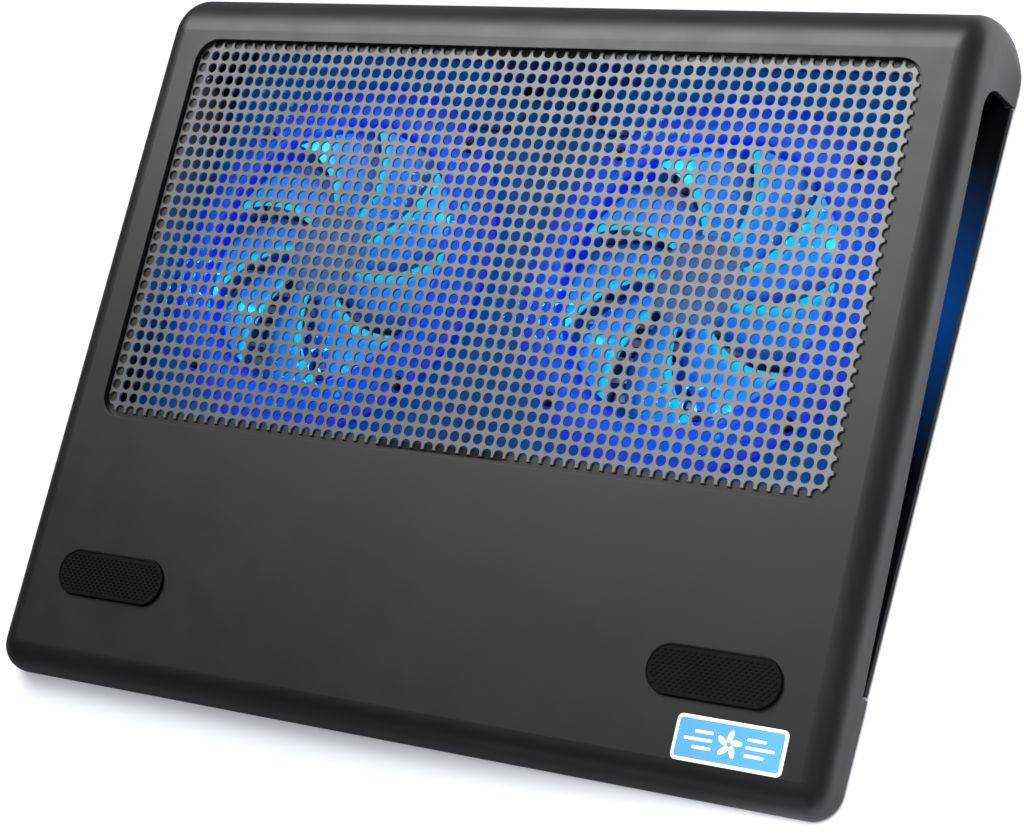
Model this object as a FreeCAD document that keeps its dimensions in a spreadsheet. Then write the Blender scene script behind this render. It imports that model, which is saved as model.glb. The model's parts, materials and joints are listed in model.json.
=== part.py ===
import FreeCAD, Part
import math
import os
import re
import Sketcher

# Laptop cooling pad, in millimetres.
# Row frame: X to the right, Y to the rear, Z up, origin on the desk under the middle of the pad.
# Deck frame: the same axes leaned back by wedge_angle, with its origin on top of the deck.

doc = FreeCAD.newDocument("laptop_cooling_pad")
V = FreeCAD.Vector

# --- driving dimensions ---------------------------------------------------------------------

DIMENSIONS = {
    # wedge-shaped case, measured in the deck frame
    "wedge_angle": 4.953,        # slope of the deck
    "deck_drop": 23.05,          # deck to underside, at mid length, square to the deck
    "deck_half_length": 138.25,
    "half_width_rear": 176.4,
    "half_width_front": 178.3,
    "wall": 2.4,
    "side_radius": 10.0,
    "rear_radius": 18.0,
    "rear_low_radius": 24.5,
    "front_radius": 10.6,
    "form_extra": 11.0,          # how far the form runs below the underside before it is trimmed
    # window and grille
    "window_half_x": 157.4,
    "window_half_y": 77.25,
    "window_y": 39.2,
    "window_radius": 9.5,
    "grille_recess": 2.0,
    "grille_thickness": 0.8,
    "ledge_width": 4.5,
    "ledge_depth": 4.6,
    "hole_pitch": 5.0,
    "hole_radius": 1.95,
    "hole_offset_x": 0.6,
    "hole_offset_y": 40.25,
    "grille_left": 156.9,
    "grille_right": 155.4,
    "grille_half_y": 75.95,
    "grille_y": 40.25,
    # side air slots
    "slot_rear": 112.0,
    "slot_front": 97.0,
    "slot_top_rear": 9.1,
    "slot_top_front": 10.9,
    "slot_radius": 9.0,
    # deck trim
    "pad_length": 50.6,
    "pad_width": 17.4,
    "pad_thickness": 1.9,
    "pad_seat": 0.6,
    "pad_x": 129.8,
    "pad_y": 98.9,
    "badge_length": 41.0,
    "badge_width": 15.2,
    "badge_thickness": 0.5,
    "badge_x": 140.8,
    "badge_y": 119.9,
    # bottom cover and feet
    "foot_height": 3.0,
    "foot_radius": 9.0,
    "foot_seat": 0.6,
    "foot_x": 150.0,
    "foot_y_rear": 100.0,
    "foot_y_front": 107.0,
    "cover_thickness": 2.2,
    "cover_rear_x": 173.4,
    "cover_front_x": 175.2,
    "ear_rear_x": 176.2,
    "ear_front_x": 177.6,
    "cover_corner": 13.0,
    "cover_rear": 131.2,
    "cover_front": 134.0,
    "ear_rear": 112.4,
    "ear_front": 95.4,
    "screw_x": 156.0,
    "screw_y_rear": 120.0,
    "screw_y_front": 118.0,
    "case_screw_radius": 1.25,
    "case_head_radius": 2.75,
    "post_radius": 4.0,
    "intake_radius": 50.0,
    "intake_pitch": 7.0,
    "intake_gap": 3.4,
    "intake_rib": 5.0,
    # fans, heights from the desk
    "fan_x": 80.8,
    "fan_y": 37.5,
    "bore_radius": 53.5,
    "ring_wall": 2.0,
    "flange_radius": 71.5,
    "flange_low": 9.2,
    "flange_thickness": 2.0,
    "ring_low": 5.4,
    "ring_top": 16.0,
    "seat_radius": 16.5,
    "seat_low": 5.6,
    "seat_thickness": 1.6,
    "strut_width": 5.0,
    "hub_radius": 17.5,
    "hub_wall": 1.3,
    "hub_low": 7.8,
    "hub_top": 14.6,
    "hub_roof": 1.4,
    "blade_radius": 52.3,
    "blade_count": 9,
    "blade_thickness": 1.2,
    "blade_half_rise": 2.8,
    "blade_mid_height": 11.1,
    "shaft_radius": 1.0,
    "bush_play": 0.04,
    "bush_radius": 2.6,
    "fan_screw_circle": 67.5,
    "fan_screw_radius": 1.25,
    "led_radius": 1.45,
    "led_length": 4.2,
    "led_height": 12.8,
    "lead_radius": 0.9,
    "magnet_low": 8.2,
    "magnet_high": 12.8,
    "magnet_wall": 1.25,
    "core_low": 9.2,
    "core_high": 11.2,
    "core_hub": 6.0,
    "core_rim": 13.8,
    "core_rim_wall": 1.8,
    "spoke_middle": 8.9,
    "spoke_reach": 3.5,
    "spoke_half": 2.5,
    "shoe_gap_half": 1.5,
    "coil_low": 8.15,
    "coil_high": 12.25,
    "coil_middle": 9.0,
    "coil_half_long": 2.2,
    "coil_half_wide": 3.7,
    "coil_play": 0.1,
    # main board, ports and switch at the rear
    "bay_half_x": 36.0,
    "bay_wall_y": 132.5,
    "bay_low": 7.6,
    "bay_top": 20.5,
    "board_half_x": 32.0,
    "board_front": 112.0,
    "board_rear": 129.0,
    "board_low": 9.0,
    "board_thickness": 1.6,
    "port_width": 13.1,
    "port_height": 5.7,
    "port_depth": 14.5,
    "port_wall": 0.4,
    "port_proud": 0.6,
    "tongue_play": 0.1,
    "tongue_half": 5.5,
    "tongue_root": 4.0,
    "tongue_top": 0.9,
    "tongue_thickness": 1.7,
    "tongue_short": 1.2,
    "board_post_x": 29.5,
    "board_post_y": 120.5,
    "board_screw_radius": 1.1,
    "knob_width": 3.6,
    "knob_travel": 3.0,
    "knob_play": 0.3,
    "switch_x": 22.0,
    "switch_half_x": 4.6,
    "switch_height": 4.8,
}

sheet = doc.addObject("Spreadsheet::Sheet", "Dims")
for row, (alias, size) in enumerate(DIMENSIONS.items(), start=1):
    sheet.set(f"A{row}", alias)
    sheet.set(f"B{row}", str(size))
    sheet.setAlias(f"B{row}", alias)
doc.recompute()


def bound(expression):
    """Spell an expression of dimension names for FreeCAD: wall * 2 becomes Dims.wall * 2."""
    return re.sub(r"[a-z_]+", lambda word: "Dims." + word[0] if word[0] in DIMENSIONS else word[0],
                  expression)


def size_of(expression):
    """The number that an expression of dimension names comes to."""
    return float(sheet.evalExpression(bound(expression)))


def bind(thing, prop, expression):
    thing.setExpression(prop, bound(expression))


# --- placing --------------------------------------------------------------------------------

COVER_TOP = "(foot_height + cover_thickness)"
DECK_SIN = "sin(wedge_angle * 1 deg)"
DECK_COS = "cos(wedge_angle * 1 deg)"
DECK_LIFT = f"(foot_height + deck_drop * {DECK_COS})"
REAR_REACH = (f"((deck_half_length - rear_radius) * {DECK_COS} + rear_radius * {DECK_SIN}"
              " + rear_radius)")
FRONT_REACH = (f"((deck_half_length - front_radius) * {DECK_COS} - front_radius * {DECK_SIN}"
               " + front_radius)")
DECK_SHIFT = f"(({FRONT_REACH} - {REAR_REACH}) / 2)"


def place(thing, x, y, z):
    """Stand a piece at a point of the row frame."""
    bind(thing, ".Placement.Base.x", x)
    bind(thing, ".Placement.Base.y", y)
    bind(thing, ".Placement.Base.z", z)
    return thing


def on_deck(thing):
    """Lean a piece back with the deck."""
    thing.Placement = FreeCAD.Placement(V(0, 0, 0), FreeCAD.Rotation(V(1, 0, 0), 1.0))
    bind(thing, ".Placement.Rotation.Angle", "wedge_angle * 1 deg")
    bind(thing, ".Placement.Base.y", DECK_SHIFT)
    bind(thing, ".Placement.Base.z", DECK_LIFT)
    return thing


# --- sketches and features --------------------------------------------------------------------

def new_body(label):
    body = doc.addObject("PartDesign::Body", label)
    body.Label = label
    return body


def new_sketch(body, name, role="XY_Plane", lift=None):
    sketch = body.newObject("Sketcher::SketchObject", name)
    plane = [f for f in body.Origin.OriginFeatures if f.Role == role][0]
    sketch.AttachmentSupport = [(plane, "")]
    sketch.MapMode = "FlatFace"
    if lift is not None:
        bind(sketch, ".AttachmentOffset.Base.z", lift)
    return sketch


def draw_polygon(sketch, corners):
    """A closed outline whose corners are expressions of the driving dimensions."""
    first = sketch.GeometryCount
    points = [(size_of(x), size_of(y)) for x, y in corners]
    for start, end in zip(points, points[1:] + points[:1]):
        sketch.addGeometry(Part.LineSegment(V(*start, 0), V(*end, 0)), False)
    count = len(corners)
    joins = [Sketcher.Constraint("Coincident", first + i, 2, first + (i + 1) % count, 1)
             for i in range(count)]
    across = [Sketcher.Constraint("DistanceX", -1, 1, first + i, 1, points[i][0])
              for i in range(count)]
    along = [Sketcher.Constraint("DistanceY", -1, 1, first + i, 1, points[i][1])
             for i in range(count)]
    start = sketch.ConstraintCount
    sketch.addConstraint(joins + across + along)
    for i, (x, y) in enumerate(corners):
        bind(sketch, f"Constraints[{start + count + i}]", x)
        bind(sketch, f"Constraints[{start + 2 * count + i}]", y)


def draw_rectangle(sketch, x0, y0, x1, y1):
    draw_polygon(sketch, [(x0, y0), (x1, y0), (x1, y1), (x0, y1)])


def draw_circle(sketch, x, y, radius):
    centre = V(size_of(x), size_of(y), 0)
    circle = sketch.addGeometry(Part.Circle(centre, V(0, 0, 1), size_of(radius)), False)
    across = Sketcher.Constraint("DistanceX", -1, 1, circle, 3, centre.x)
    bind(sketch, f"Constraints[{sketch.addConstraint(across)}]", x)
    along = Sketcher.Constraint("DistanceY", -1, 1, circle, 3, centre.y)
    bind(sketch, f"Constraints[{sketch.addConstraint(along)}]", y)
    round_ = Sketcher.Constraint("Radius", circle, size_of(radius))
    bind(sketch, f"Constraints[{sketch.addConstraint(round_)}]", radius)


def pad(body, name, sketch, length, midplane=False):
    feature = body.newObject("PartDesign::Pad", name)
    feature.Profile = sketch
    feature.Midplane = midplane
    bind(feature, "Length", length)
    return feature


def pocket(body, name, sketch, length=None, reversed_=True):
    """Cut a sketch out of the body: upwards from its plane when reversed, else downwards."""
    before = body.Shape.Volume if body.Shape.isValid() else 0.0
    feature = body.newObject("PartDesign::Pocket", name)
    feature.Profile = sketch
    if length is None:
        feature.Type = "ThroughAll"
        feature.Midplane = True
    else:
        feature.Reversed = reversed_
        bind(feature, "Length", length)
    doc.recompute()
    if feature.Shape.Volume > before - 1e-6:
        raise RuntimeError(f"{name} cut nothing")
    return feature


def revolution(body, name, corners):
    """Turn an outline of (radius, height) corners once round the body's Z axis."""
    sketch = new_sketch(body, name + "_outline", "XZ_Plane")
    draw_polygon(sketch, corners)
    feature = body.newObject("PartDesign::Revolution", name)
    feature.Profile = sketch
    axis = [f for f in body.Origin.OriginFeatures if f.Role == "Z_Axis"][0]
    feature.ReferenceAxis = (axis, [""])
    feature.Angle = 360.0
    return feature


def fillet(body, name, base, chosen, radius):
    """Round the edges of a feature that a test on their middle point picks out."""
    doc.recompute()
    names = [f"Edge{i}" for i, edge in enumerate(base.Shape.Edges, start=1) if chosen(edge)]
    feature = body.newObject("PartDesign::Fillet", name)
    feature.Base = (base, names)
    bind(feature, "Radius", radius)
    doc.recompute()
    return feature


def polar(body, name, feature, count):
    pattern = body.newObject("PartDesign::PolarPattern", name)
    pattern.Originals = [feature]
    axis = [f for f in body.Origin.OriginFeatures if f.Role == "Z_Axis"][0]
    pattern.Axis = (axis, [""])
    pattern.Angle = 360.0
    bind(pattern, "Occurrences", count)
    body.Tip = pattern
    doc.recompute()
    return pattern


def slab(label, x0, y0, z0, x1, y1, z1):
    """A box between two corners."""
    box = doc.addObject("Part::Box", label)
    box.Label = label
    bind(box, "Length", f"({x1}) - ({x0})")
    bind(box, "Width", f"({y1}) - ({y0})")
    bind(box, "Height", f"({z1}) - ({z0})")
    return place(box, x0, y0, z0)


def rod(label, x, y, z0, z1, radius):
    """An upright cylinder between two heights."""
    cylinder = doc.addObject("Part::Cylinder", label)
    cylinder.Label = label
    bind(cylinder, "Radius", radius)
    bind(cylinder, "Height", f"({z1}) - ({z0})")
    return place(cylinder, x, y, z0)


def union(label, pieces):
    joined = doc.addObject("Part::MultiFuse", label)
    joined.Label = label
    joined.Shapes = pieces
    return joined


def group(label, pieces):
    """Identical separate solids kept as one sub-part."""
    together = doc.addObject("Part::Compound", label)
    together.Label = label
    together.Links = pieces
    return together


def overlap(label, one, other):
    shared = doc.addObject("Part::Common", label)
    shared.Label = label
    shared.Base = one
    shared.Tool = other
    return shared


def cut(label, base, tool):
    result = doc.addObject("Part::Cut", label)
    result.Label = label
    result.Base = base
    result.Tool = tool
    return result


def tube(label, x, y, z0, z1, outer, inner):
    shell = rod(label + "_outside", x, y, z0, z1, outer)
    return cut(label, shell, rod(label + "_bore", x, y, z0, z1, inner))


# --- top shell --------------------------------------------------------------------------------

def rounded_plate(label, x0, x1, y0, y1, top, bottom, radius):
    """A plate square to the deck with rounded corners, between two depths below the deck."""
    body = new_body(label)
    sketch = new_sketch(body, label + "_plan", "XY_Plane", f"-({bottom})")
    draw_rectangle(sketch, x0, y0, x1, y1)
    base = pad(body, label + "_pad", sketch, f"({bottom}) - ({top})")
    fillet(body, label + "_corners", base,
           lambda edge: abs(edge.tangentAt(edge.FirstParameter).z) > 0.9, radius)
    return on_deck(body)


def wedge_form(label, inset):
    """The case's rounded outer form, or the same form set in by a wall."""
    body = new_body(label)
    plan = new_sketch(body, label + "_plan")
    front_x = f"half_width_front - {inset}"
    rear_x = f"half_width_rear - {inset}"
    draw_polygon(plan, [(f"-({front_x})", "-deck_half_length"), (front_x, "-deck_half_length"),
                        (rear_x, "deck_half_length"), (f"-({rear_x})", "deck_half_length")])
    block = pad(body, label + "_block", plan, "120", midplane=True)
    doc.recompute()

    side = new_sketch(body, label + "_side", "YZ_Plane")
    front = f"-(deck_half_length - {inset})"
    rear = f"(deck_half_length - {inset})"
    slope = "tan(wedge_angle * 1 deg)"
    low = f"-(deck_drop + form_extra - {inset})"
    draw_rectangle(side, "-200", "-100", "200", "100")
    draw_polygon(side, [(front, f"-{inset}"), (rear, f"-{inset}"),
                        (rear, f"{low} - {rear} * {slope}"), (front, f"{low} - {front} * {slope}")])
    profile = pocket(body, label + "_profile", side)

    rear_y = size_of(rear)
    front_y = size_of(front)
    top_z = -size_of(inset)

    def across(edge):
        return abs(edge.tangentAt(edge.FirstParameter).x) > 0.99

    rear_top = fillet(body, label + "_rear_roll", profile, lambda edge: across(edge)
                      and abs(edge.CenterOfMass.y - rear_y) < 0.1
                      and edge.CenterOfMass.z > top_z - 0.1, f"rear_radius - {inset}")
    rear_low = fillet(body, label + "_rear_foot", rear_top, lambda edge: across(edge)
                      and abs(edge.CenterOfMass.y - rear_y) < 0.1
                      and edge.CenterOfMass.z < top_z - 25.0, f"rear_low_radius - {inset}")
    front_top = fillet(body, label + "_front_roll", rear_low, lambda edge: across(edge)
                       and abs(edge.CenterOfMass.y - front_y) < 0.1
                       and edge.CenterOfMass.z > top_z - 0.1, f"front_radius - {inset}")
    front_low = fillet(body, label + "_front_foot", front_top, lambda edge: across(edge)
                       and abs(edge.CenterOfMass.y - front_y) < 0.1
                       and edge.CenterOfMass.z < top_z - 15.0, f"front_radius - {inset}")
    side_x = size_of(rear_x)
    fillet(body, label + "_side_roll", front_low, lambda edge: not across(edge)
           and abs(edge.CenterOfMass.x) > side_x - 0.2
           and edge.CenterOfMass.z > top_z - 0.1
           and abs(edge.CenterOfMass.y) < 30.0, f"side_radius - {inset}")
    return on_deck(body)


def side_slot(label, side):
    """The long tapered opening in one side wall, down to the bottom cover."""
    body = new_body(label)
    near = "(half_width_rear - 12)"
    lift = near if side > 0 else f"-({near} + 20)"
    sketch = new_sketch(body, label + "_outline", "YZ_Plane", lift)
    draw_polygon(sketch, [("slot_rear", "-slot_top_rear"), ("-slot_front", "-slot_top_front"),
                          ("-slot_front", "-50"), ("slot_rear", "-50")])
    block = pad(body, label + "_block", sketch, "20")
    rear_top = V(0, size_of("slot_rear"), -size_of("slot_top_rear"))

    def at_rear_top(edge):
        middle = edge.CenterOfMass
        return V(0, middle.y, middle.z).distanceToPoint(rear_top) < 0.1

    fillet(body, label + "_rear_end", block, at_rear_top, "slot_radius")
    return on_deck(body)


CASE_SCREWS = [("-screw_x", "screw_y_rear"), ("screw_x", "screw_y_rear"),
               ("-screw_x", "-screw_y_front"), ("screw_x", "-screw_y_front"),
               ("0", "-screw_y_front"), ("0", "-screw_y_front / 2")]
COVER_BOSS_TOP = f"({COVER_TOP} + 1.6)"


def make_top_shell():
    outside = wedge_form("outer_form", "0")
    inside = wedge_form("cavity_form", "wall")
    hollow = cut("hollow_case", outside, inside)

    rim = rounded_plate("window_rim", "-window_half_x - 3", "window_half_x + 3",
                        "window_y - window_half_y - 3", "window_y + window_half_y + 3",
                        "wall / 2", "ledge_depth", "window_radius + 3")
    posts = [rod(f"post_{i}", x, y, COVER_BOSS_TOP, "45", "post_radius")
             for i, (x, y) in enumerate(CASE_SCREWS)]
    bay = slab("bay_block", "-bay_half_x - 2.2", "bay_wall_y - 2.2", "bay_low - 2.2",
               "bay_half_x + 2.2", "bay_wall_y + 15", "bay_top + 2.2")
    inner_parts = overlap("inner_ribs", union("rib_stock", [rim, bay] + posts),
                          doc.getObject("outer_form"))
    full = union("shell_stock", [hollow, inner_parts])

    window = rounded_plate("window_opening", "-window_half_x", "window_half_x",
                           "window_y - window_half_y", "window_y + window_half_y",
                           "-5", "grille_recess + grille_thickness", "window_radius")
    throat = rounded_plate("window_throat", "-window_half_x + ledge_width",
                           "window_half_x - ledge_width",
                           "window_y - window_half_y + ledge_width",
                           "window_y + window_half_y - ledge_width",
                           "0", "ledge_depth + 5", "window_radius - ledge_width")
    seats = [rounded_plate(f"pad_seat_{name}", f"{x} - pad_length / 2", f"{x} + pad_length / 2",
                           "-pad_y - pad_width / 2", "-pad_y + pad_width / 2",
                           "-5", "pad_seat", "pad_width / 2 - 0.01")
             for name, x in (("left", "-pad_x"), ("right", "pad_x"))]
    slots = [side_slot("slot_left", -1), side_slot("slot_right", 1)]
    below = slab("below_case", "-200", "-200", "-60", "200", "200", "foot_height")
    recess = slab("bay_recess", "-bay_half_x", "bay_wall_y", "bay_low",
                  "bay_half_x", "bay_wall_y + 15", "bay_top")
    board_top = "(board_low + board_thickness)"
    holes = [slab(f"port_hole_{i}", f"{x} - port_width / 2 - 0.2", "bay_wall_y - 4",
                  f"{board_top} - 0.2", f"{x} + port_width / 2 + 0.2", "bay_wall_y + 1",
                  f"{board_top} + port_height + 0.2") for i, x in enumerate(PORT_X)]
    knob_reach = "((knob_width + knob_travel) / 2 + knob_play)"
    knob_slot = slab("knob_slot", f"switch_x - {knob_reach}", "bay_wall_y - 4",
                     f"{board_top} + 1", f"switch_x + {knob_reach}", "bay_wall_y + 1",
                     f"{board_top} + 3.8")
    pilots = [rod(f"pilot_{i}", x, y, "0", f"{COVER_BOSS_TOP} + 4.2", "case_screw_radius")
              for i, (x, y) in enumerate(CASE_SCREWS)]
    tools = union("shell_cuts", [window, throat, below, recess, knob_slot]
                  + seats + slots + holes + pilots)
    return cut("top_shell", full, tools)


# --- deck trim --------------------------------------------------------------------------------

def make_grille():
    """The perforated sheet: one face with every whole hole, trimmed where its edges cross holes."""
    pitch = size_of("hole_pitch")
    radius = size_of("hole_radius")
    left = -size_of("grille_left")
    right = size_of("grille_right")
    middle = size_of("grille_y")
    half_y = size_of("grille_half_y")
    low = -size_of("grille_recess + grille_thickness")
    thick = size_of("grille_thickness")
    corner = size_of("window_radius - 1")

    body = Part.makeBox(right - left, 2 * half_y, thick, V(left, middle - half_y, low))
    upright = [edge for edge in body.Edges if abs(edge.tangentAt(0).z) > 0.9]
    plate = body.makeFillet(corner, upright)
    edge = max(plate.Faces, key=lambda face: face.CenterOfMass.z).OuterWire

    whole = []
    trimmed = []
    margin = radius + 0.25
    columns = range(-32, 33)
    rows = range(-32, 33)
    for i in columns:
        x = i * pitch + size_of("hole_offset_x")
        for j in rows:
            y = j * pitch + size_of("hole_offset_y")
            if not (left - radius < x < right + radius and abs(y - middle) < half_y + radius):
                continue
            centre = V(x, y, low + thick)
            reach = edge.distToShape(Part.Vertex(centre))[0]
            if reach < radius - 0.3:
                trimmed.append(Part.makeCylinder(radius, 4 * thick, V(x, y, low - thick)))
            elif reach > margin and left < x < right and abs(y - middle) < half_y:
                whole.append(Part.Wire(Part.makeCircle(radius, centre)))
    plate = max(plate.cut(trimmed).Solids, key=lambda piece: piece.Volume)
    outline = max(plate.Faces, key=lambda face: face.CenterOfMass.z).OuterWire
    feature = doc.addObject("Part::Feature", "mesh_grille")
    feature.Label = "mesh_grille"
    perforated = Part.Face([outline] + whole)
    perforated.validate()
    feature.Shape = perforated.extrude(V(0, 0, -thick))
    return on_deck(feature)


def make_deck_trim():
    pads = []
    for name, x in (("left", "-pad_x"), ("right", "pad_x")):
        pads.append(rounded_plate(f"grip_pad_{name}", f"{x} - pad_length / 2 + 0.1",
                                  f"{x} + pad_length / 2 - 0.1",
                                  "-pad_y - pad_width / 2 + 0.1", "-pad_y + pad_width / 2 - 0.1",
                                  "pad_seat - pad_thickness", "pad_seat", "pad_width / 2 - 0.11"))
    badge = rounded_plate("front_badge", "badge_x - badge_length / 2", "badge_x + badge_length / 2",
                          "-badge_y - badge_width / 2", "-badge_y + badge_width / 2",
                          "-badge_thickness", "0", "2")
    return pads + [badge]


# --- bottom cover, feet and screws --------------------------------------------------------------

FEET = {
    "foot_front_left": ("-foot_x", "-foot_y_front"),
    "foot_front_right": ("foot_x", "-foot_y_front"),
    "foot_rear_left": ("-foot_x", "foot_y_rear"),
    "foot_rear_right": ("foot_x", "foot_y_rear"),
}
BOARD_POSTS = [("-board_post_x", "board_post_y"), ("board_post_x", "board_post_y")]


def fan_screw_points(fan_x):
    reach = "fan_screw_circle * cos(45 deg)"
    return [(f"{fan_x} + {sx} * {reach}", f"fan_y + {sy} * {reach}")
            for sx in (-1, 1) for sy in (-1, 1)]


def make_bottom_cover():
    body = new_body("cover_moulding")
    plan = new_sketch(body, "cover_plan", "XY_Plane", "foot_height")
    right_edge = [("cover_front_x", "-cover_front"), ("cover_front_x", "-ear_front"),
                  ("ear_front_x", "-ear_front"), ("ear_rear_x", "ear_rear"),
                  ("cover_rear_x", "ear_rear"), ("cover_rear_x", "cover_rear")]
    left_edge = [(f"-{x}", y) for x, y in reversed(right_edge)]
    draw_polygon(plan, right_edge + left_edge)
    plate = pad(body, "cover_plate", plan, "cover_thickness")
    fillet(body, "cover_corners", plate,
           lambda edge: abs(edge.tangentAt(edge.FirstParameter).z) > 0.9
           and abs(edge.CenterOfMass.y) > 120.0, "cover_corner")

    bosses = new_sketch(body, "screw_boss_plan", "XY_Plane", COVER_TOP)
    for x, y in CASE_SCREWS:
        draw_circle(bosses, x, y, "post_radius + 1.2")
    pad(body, "screw_bosses", bosses, f"{COVER_BOSS_TOP} - {COVER_TOP}")
    fan_posts = new_sketch(body, "fan_post_plan", "XY_Plane", COVER_TOP)
    for fan_x in ("-fan_x", "fan_x"):
        for x, y in fan_screw_points(fan_x):
            draw_circle(fan_posts, x, y, "post_radius")
    pad(body, "fan_posts", fan_posts, f"flange_low - {COVER_TOP}")
    board_posts = new_sketch(body, "board_post_plan", "XY_Plane", COVER_TOP)
    for x, y in BOARD_POSTS:
        draw_circle(board_posts, x, y, "3")
    pad(body, "board_posts", board_posts, f"board_low - {COVER_TOP}")
    doc.recompute()

    seats = new_sketch(body, "foot_seat_plan", "XY_Plane", "foot_height")
    for x, y in FEET.values():
        draw_circle(seats, x, y, "foot_radius + 0.2")
    pocket(body, "foot_seats", seats, "foot_seat")
    heads = new_sketch(body, "head_seat_plan", "XY_Plane", "foot_height")
    for x, y in CASE_SCREWS:
        draw_circle(heads, x, y, "case_head_radius + 0.3")
    pocket(body, "head_seats", heads, "2.2")
    shanks = new_sketch(body, "shank_plan", "XY_Plane", "foot_height")
    for x, y in CASE_SCREWS:
        draw_circle(shanks, x, y, "case_screw_radius + 0.4")
    pocket(body, "shank_holes", shanks, "6")
    fan_pilots = new_sketch(body, "fan_pilot_plan", "XY_Plane", f"{COVER_TOP} + 0.3")
    for fan_x in ("-fan_x", "fan_x"):
        for x, y in fan_screw_points(fan_x):
            draw_circle(fan_pilots, x, y, "fan_screw_radius")
    pocket(body, "fan_pilots", fan_pilots, "6")
    board_pilots = new_sketch(body, "board_pilot_plan", "XY_Plane", f"{COVER_TOP} + 0.3")
    for x, y in BOARD_POSTS:
        draw_circle(board_pilots, x, y, "board_screw_radius")
    pocket(body, "board_pilots", board_pilots, "6")

    return cut("bottom_cover", body, group("intake_slots", make_intake_bars()))


def make_intake_bars():
    """Rows of slots under each fan, as long as a round opening would let them be."""
    bars = []
    rows = int(size_of("intake_radius / intake_pitch"))
    for fan_name, fan_x in (("left", "-fan_x"), ("right", "fan_x")):
        for row in range(-rows, rows + 1):
            y = f"(fan_y + {row} * intake_pitch)"
            reach = f"sqrt(intake_radius ^ 2 - ({row} * intake_pitch) ^ 2)"
            for half, (near, far) in enumerate(((f"-{reach}", "-intake_rib / 2"),
                                                ("intake_rib / 2", reach))):
                bars.append(slab(f"intake_{fan_name}_{row + rows}_{half}",
                                 f"{fan_x} + {near}", f"{y} - intake_gap / 2", "0",
                                 f"{fan_x} + {far}", f"{y} + intake_gap / 2", COVER_TOP))
    return bars


def make_screw(label, x, y, head_low, head_high, head_radius, tip, shank_radius):
    """One screw: its head between two heights and its shank to the tip."""
    head = rod(label + "_head", x, y, head_low, head_high, head_radius)
    low = f"min({tip}; {head_low})"
    high = f"max({tip}; {head_high})"
    shank = rod(label + "_shank", x, y, low, high, shank_radius)
    return union(label, [head, shank])


def make_case_hardware():
    screws = [make_screw(f"case_screw_{i}", x, y, "foot_height + 0.3", "foot_height + 2.2",
                         "case_head_radius", f"{COVER_BOSS_TOP} + 4", "case_screw_radius")
              for i, (x, y) in enumerate(CASE_SCREWS)]
    feet = [rod(name, x, y, "0", "foot_height + foot_seat", "foot_radius")
            for name, (x, y) in FEET.items()]
    return [group("case_screws", screws)] + feet


# --- fans -------------------------------------------------------------------------------------

def make_fan_frame(label):
    """Inlet ring with its flange, four struts and the motor seat with its bearing tube."""
    body = new_body(label)
    wall_r = "(bore_radius + ring_wall)"
    flange_top = "(flange_low + flange_thickness)"
    revolution(body, label + "_ring", [
        ("bore_radius", "ring_low"), (wall_r, "ring_low"), (wall_r, "flange_low"),
        ("flange_radius", "flange_low"), ("flange_radius", flange_top),
        (f"{wall_r} + 9", flange_top), (f"{wall_r} + 9", f"{flange_top} + 1.4"),
        (f"{wall_r} + 7", f"{flange_top} + 1.4"), (f"{wall_r} + 7", flange_top),
        (wall_r, flange_top), (wall_r, "ring_top - 1.4"), (f"{wall_r} + 3.5", "ring_top - 1.4"),
        (f"{wall_r} + 3.5", "ring_top - 0.6"), (f"{wall_r} + 1.5", "ring_top"),
        ("bore_radius + 1", "ring_top"), ("bore_radius", "ring_top - 1")])
    struts = new_sketch(body, label + "_strut_plan", "XY_Plane", "seat_low")
    draw_rectangle(struts, "-bore_radius - 0.5", "-strut_width / 2",
                   "bore_radius + 0.5", "strut_width / 2")
    strut = pad(body, label + "_strut", struts, "seat_thickness")
    doc.recompute()
    polar(body, label + "_struts", strut, "4")
    tube_top = "(hub_top - 2.3)"
    seat_top = "(seat_low + seat_thickness)"
    seat = new_sketch(body, label + "_seat_plan", "XY_Plane", "seat_low")
    draw_circle(seat, "0", "0", "seat_radius")
    pad(body, label + "_seat", seat, "seat_thickness")
    stem = new_sketch(body, label + "_stem_plan", "XY_Plane", "seat_low")
    draw_circle(stem, "0", "0", "bush_radius + 0.9")
    pad(body, label + "_stem", stem, f"{tube_top} - seat_low")
    doc.recompute()
    bore = new_sketch(body, label + "_bore_plan", "XY_Plane", f"{seat_top} - 0.2")
    draw_circle(bore, "0", "0", "bush_radius")
    pocket(body, label + "_bore", bore, "10")
    holes = new_sketch(body, label + "_hole_plan", "XY_Plane", "flange_low - 1")
    for x, y in fan_screw_points("0"):
        draw_circle(holes, x, y.replace("fan_y + ", ""), "fan_screw_radius + 0.3")
    pocket(body, label + "_holes", holes, "6")
    return body


BLADE_STATIONS = [("hub_radius - 3", "5.0", 0.0), ("34", "10.6", 13.0),
                  ("blade_radius + 1.5", "15.6", 31.0)]


def make_blade():
    """One swept, pitched blade lofted through three stations, its ends trimmed round."""
    middle = size_of("blade_mid_height")
    rise = size_of("blade_half_rise")
    half = size_of("blade_thickness") / 2
    stations = []
    for reach, half_chord, sweep in BLADE_STATIONS:
        chord = size_of(half_chord)
        turn = FreeCAD.Rotation(V(0, 0, 1), sweep)
        corners = [turn.multVec(V(size_of(reach), y, middle + z)) for y, z in
                   ((-chord, -rise - half), (chord, rise - half),
                    (chord, rise + half), (-chord, -rise + half))]
        stations.append(Part.makePolygon(corners + corners[:1]))
    loft = Part.makeLoft(stations, True, False)
    low = middle - 2 * rise
    outside = Part.makeCylinder(size_of("blade_radius"), 4 * rise, V(0, 0, low))
    inside = Part.makeCylinder(size_of("hub_radius - hub_wall / 2"), 4 * rise, V(0, 0, low))
    return loft.common(outside.cut(inside))


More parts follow.
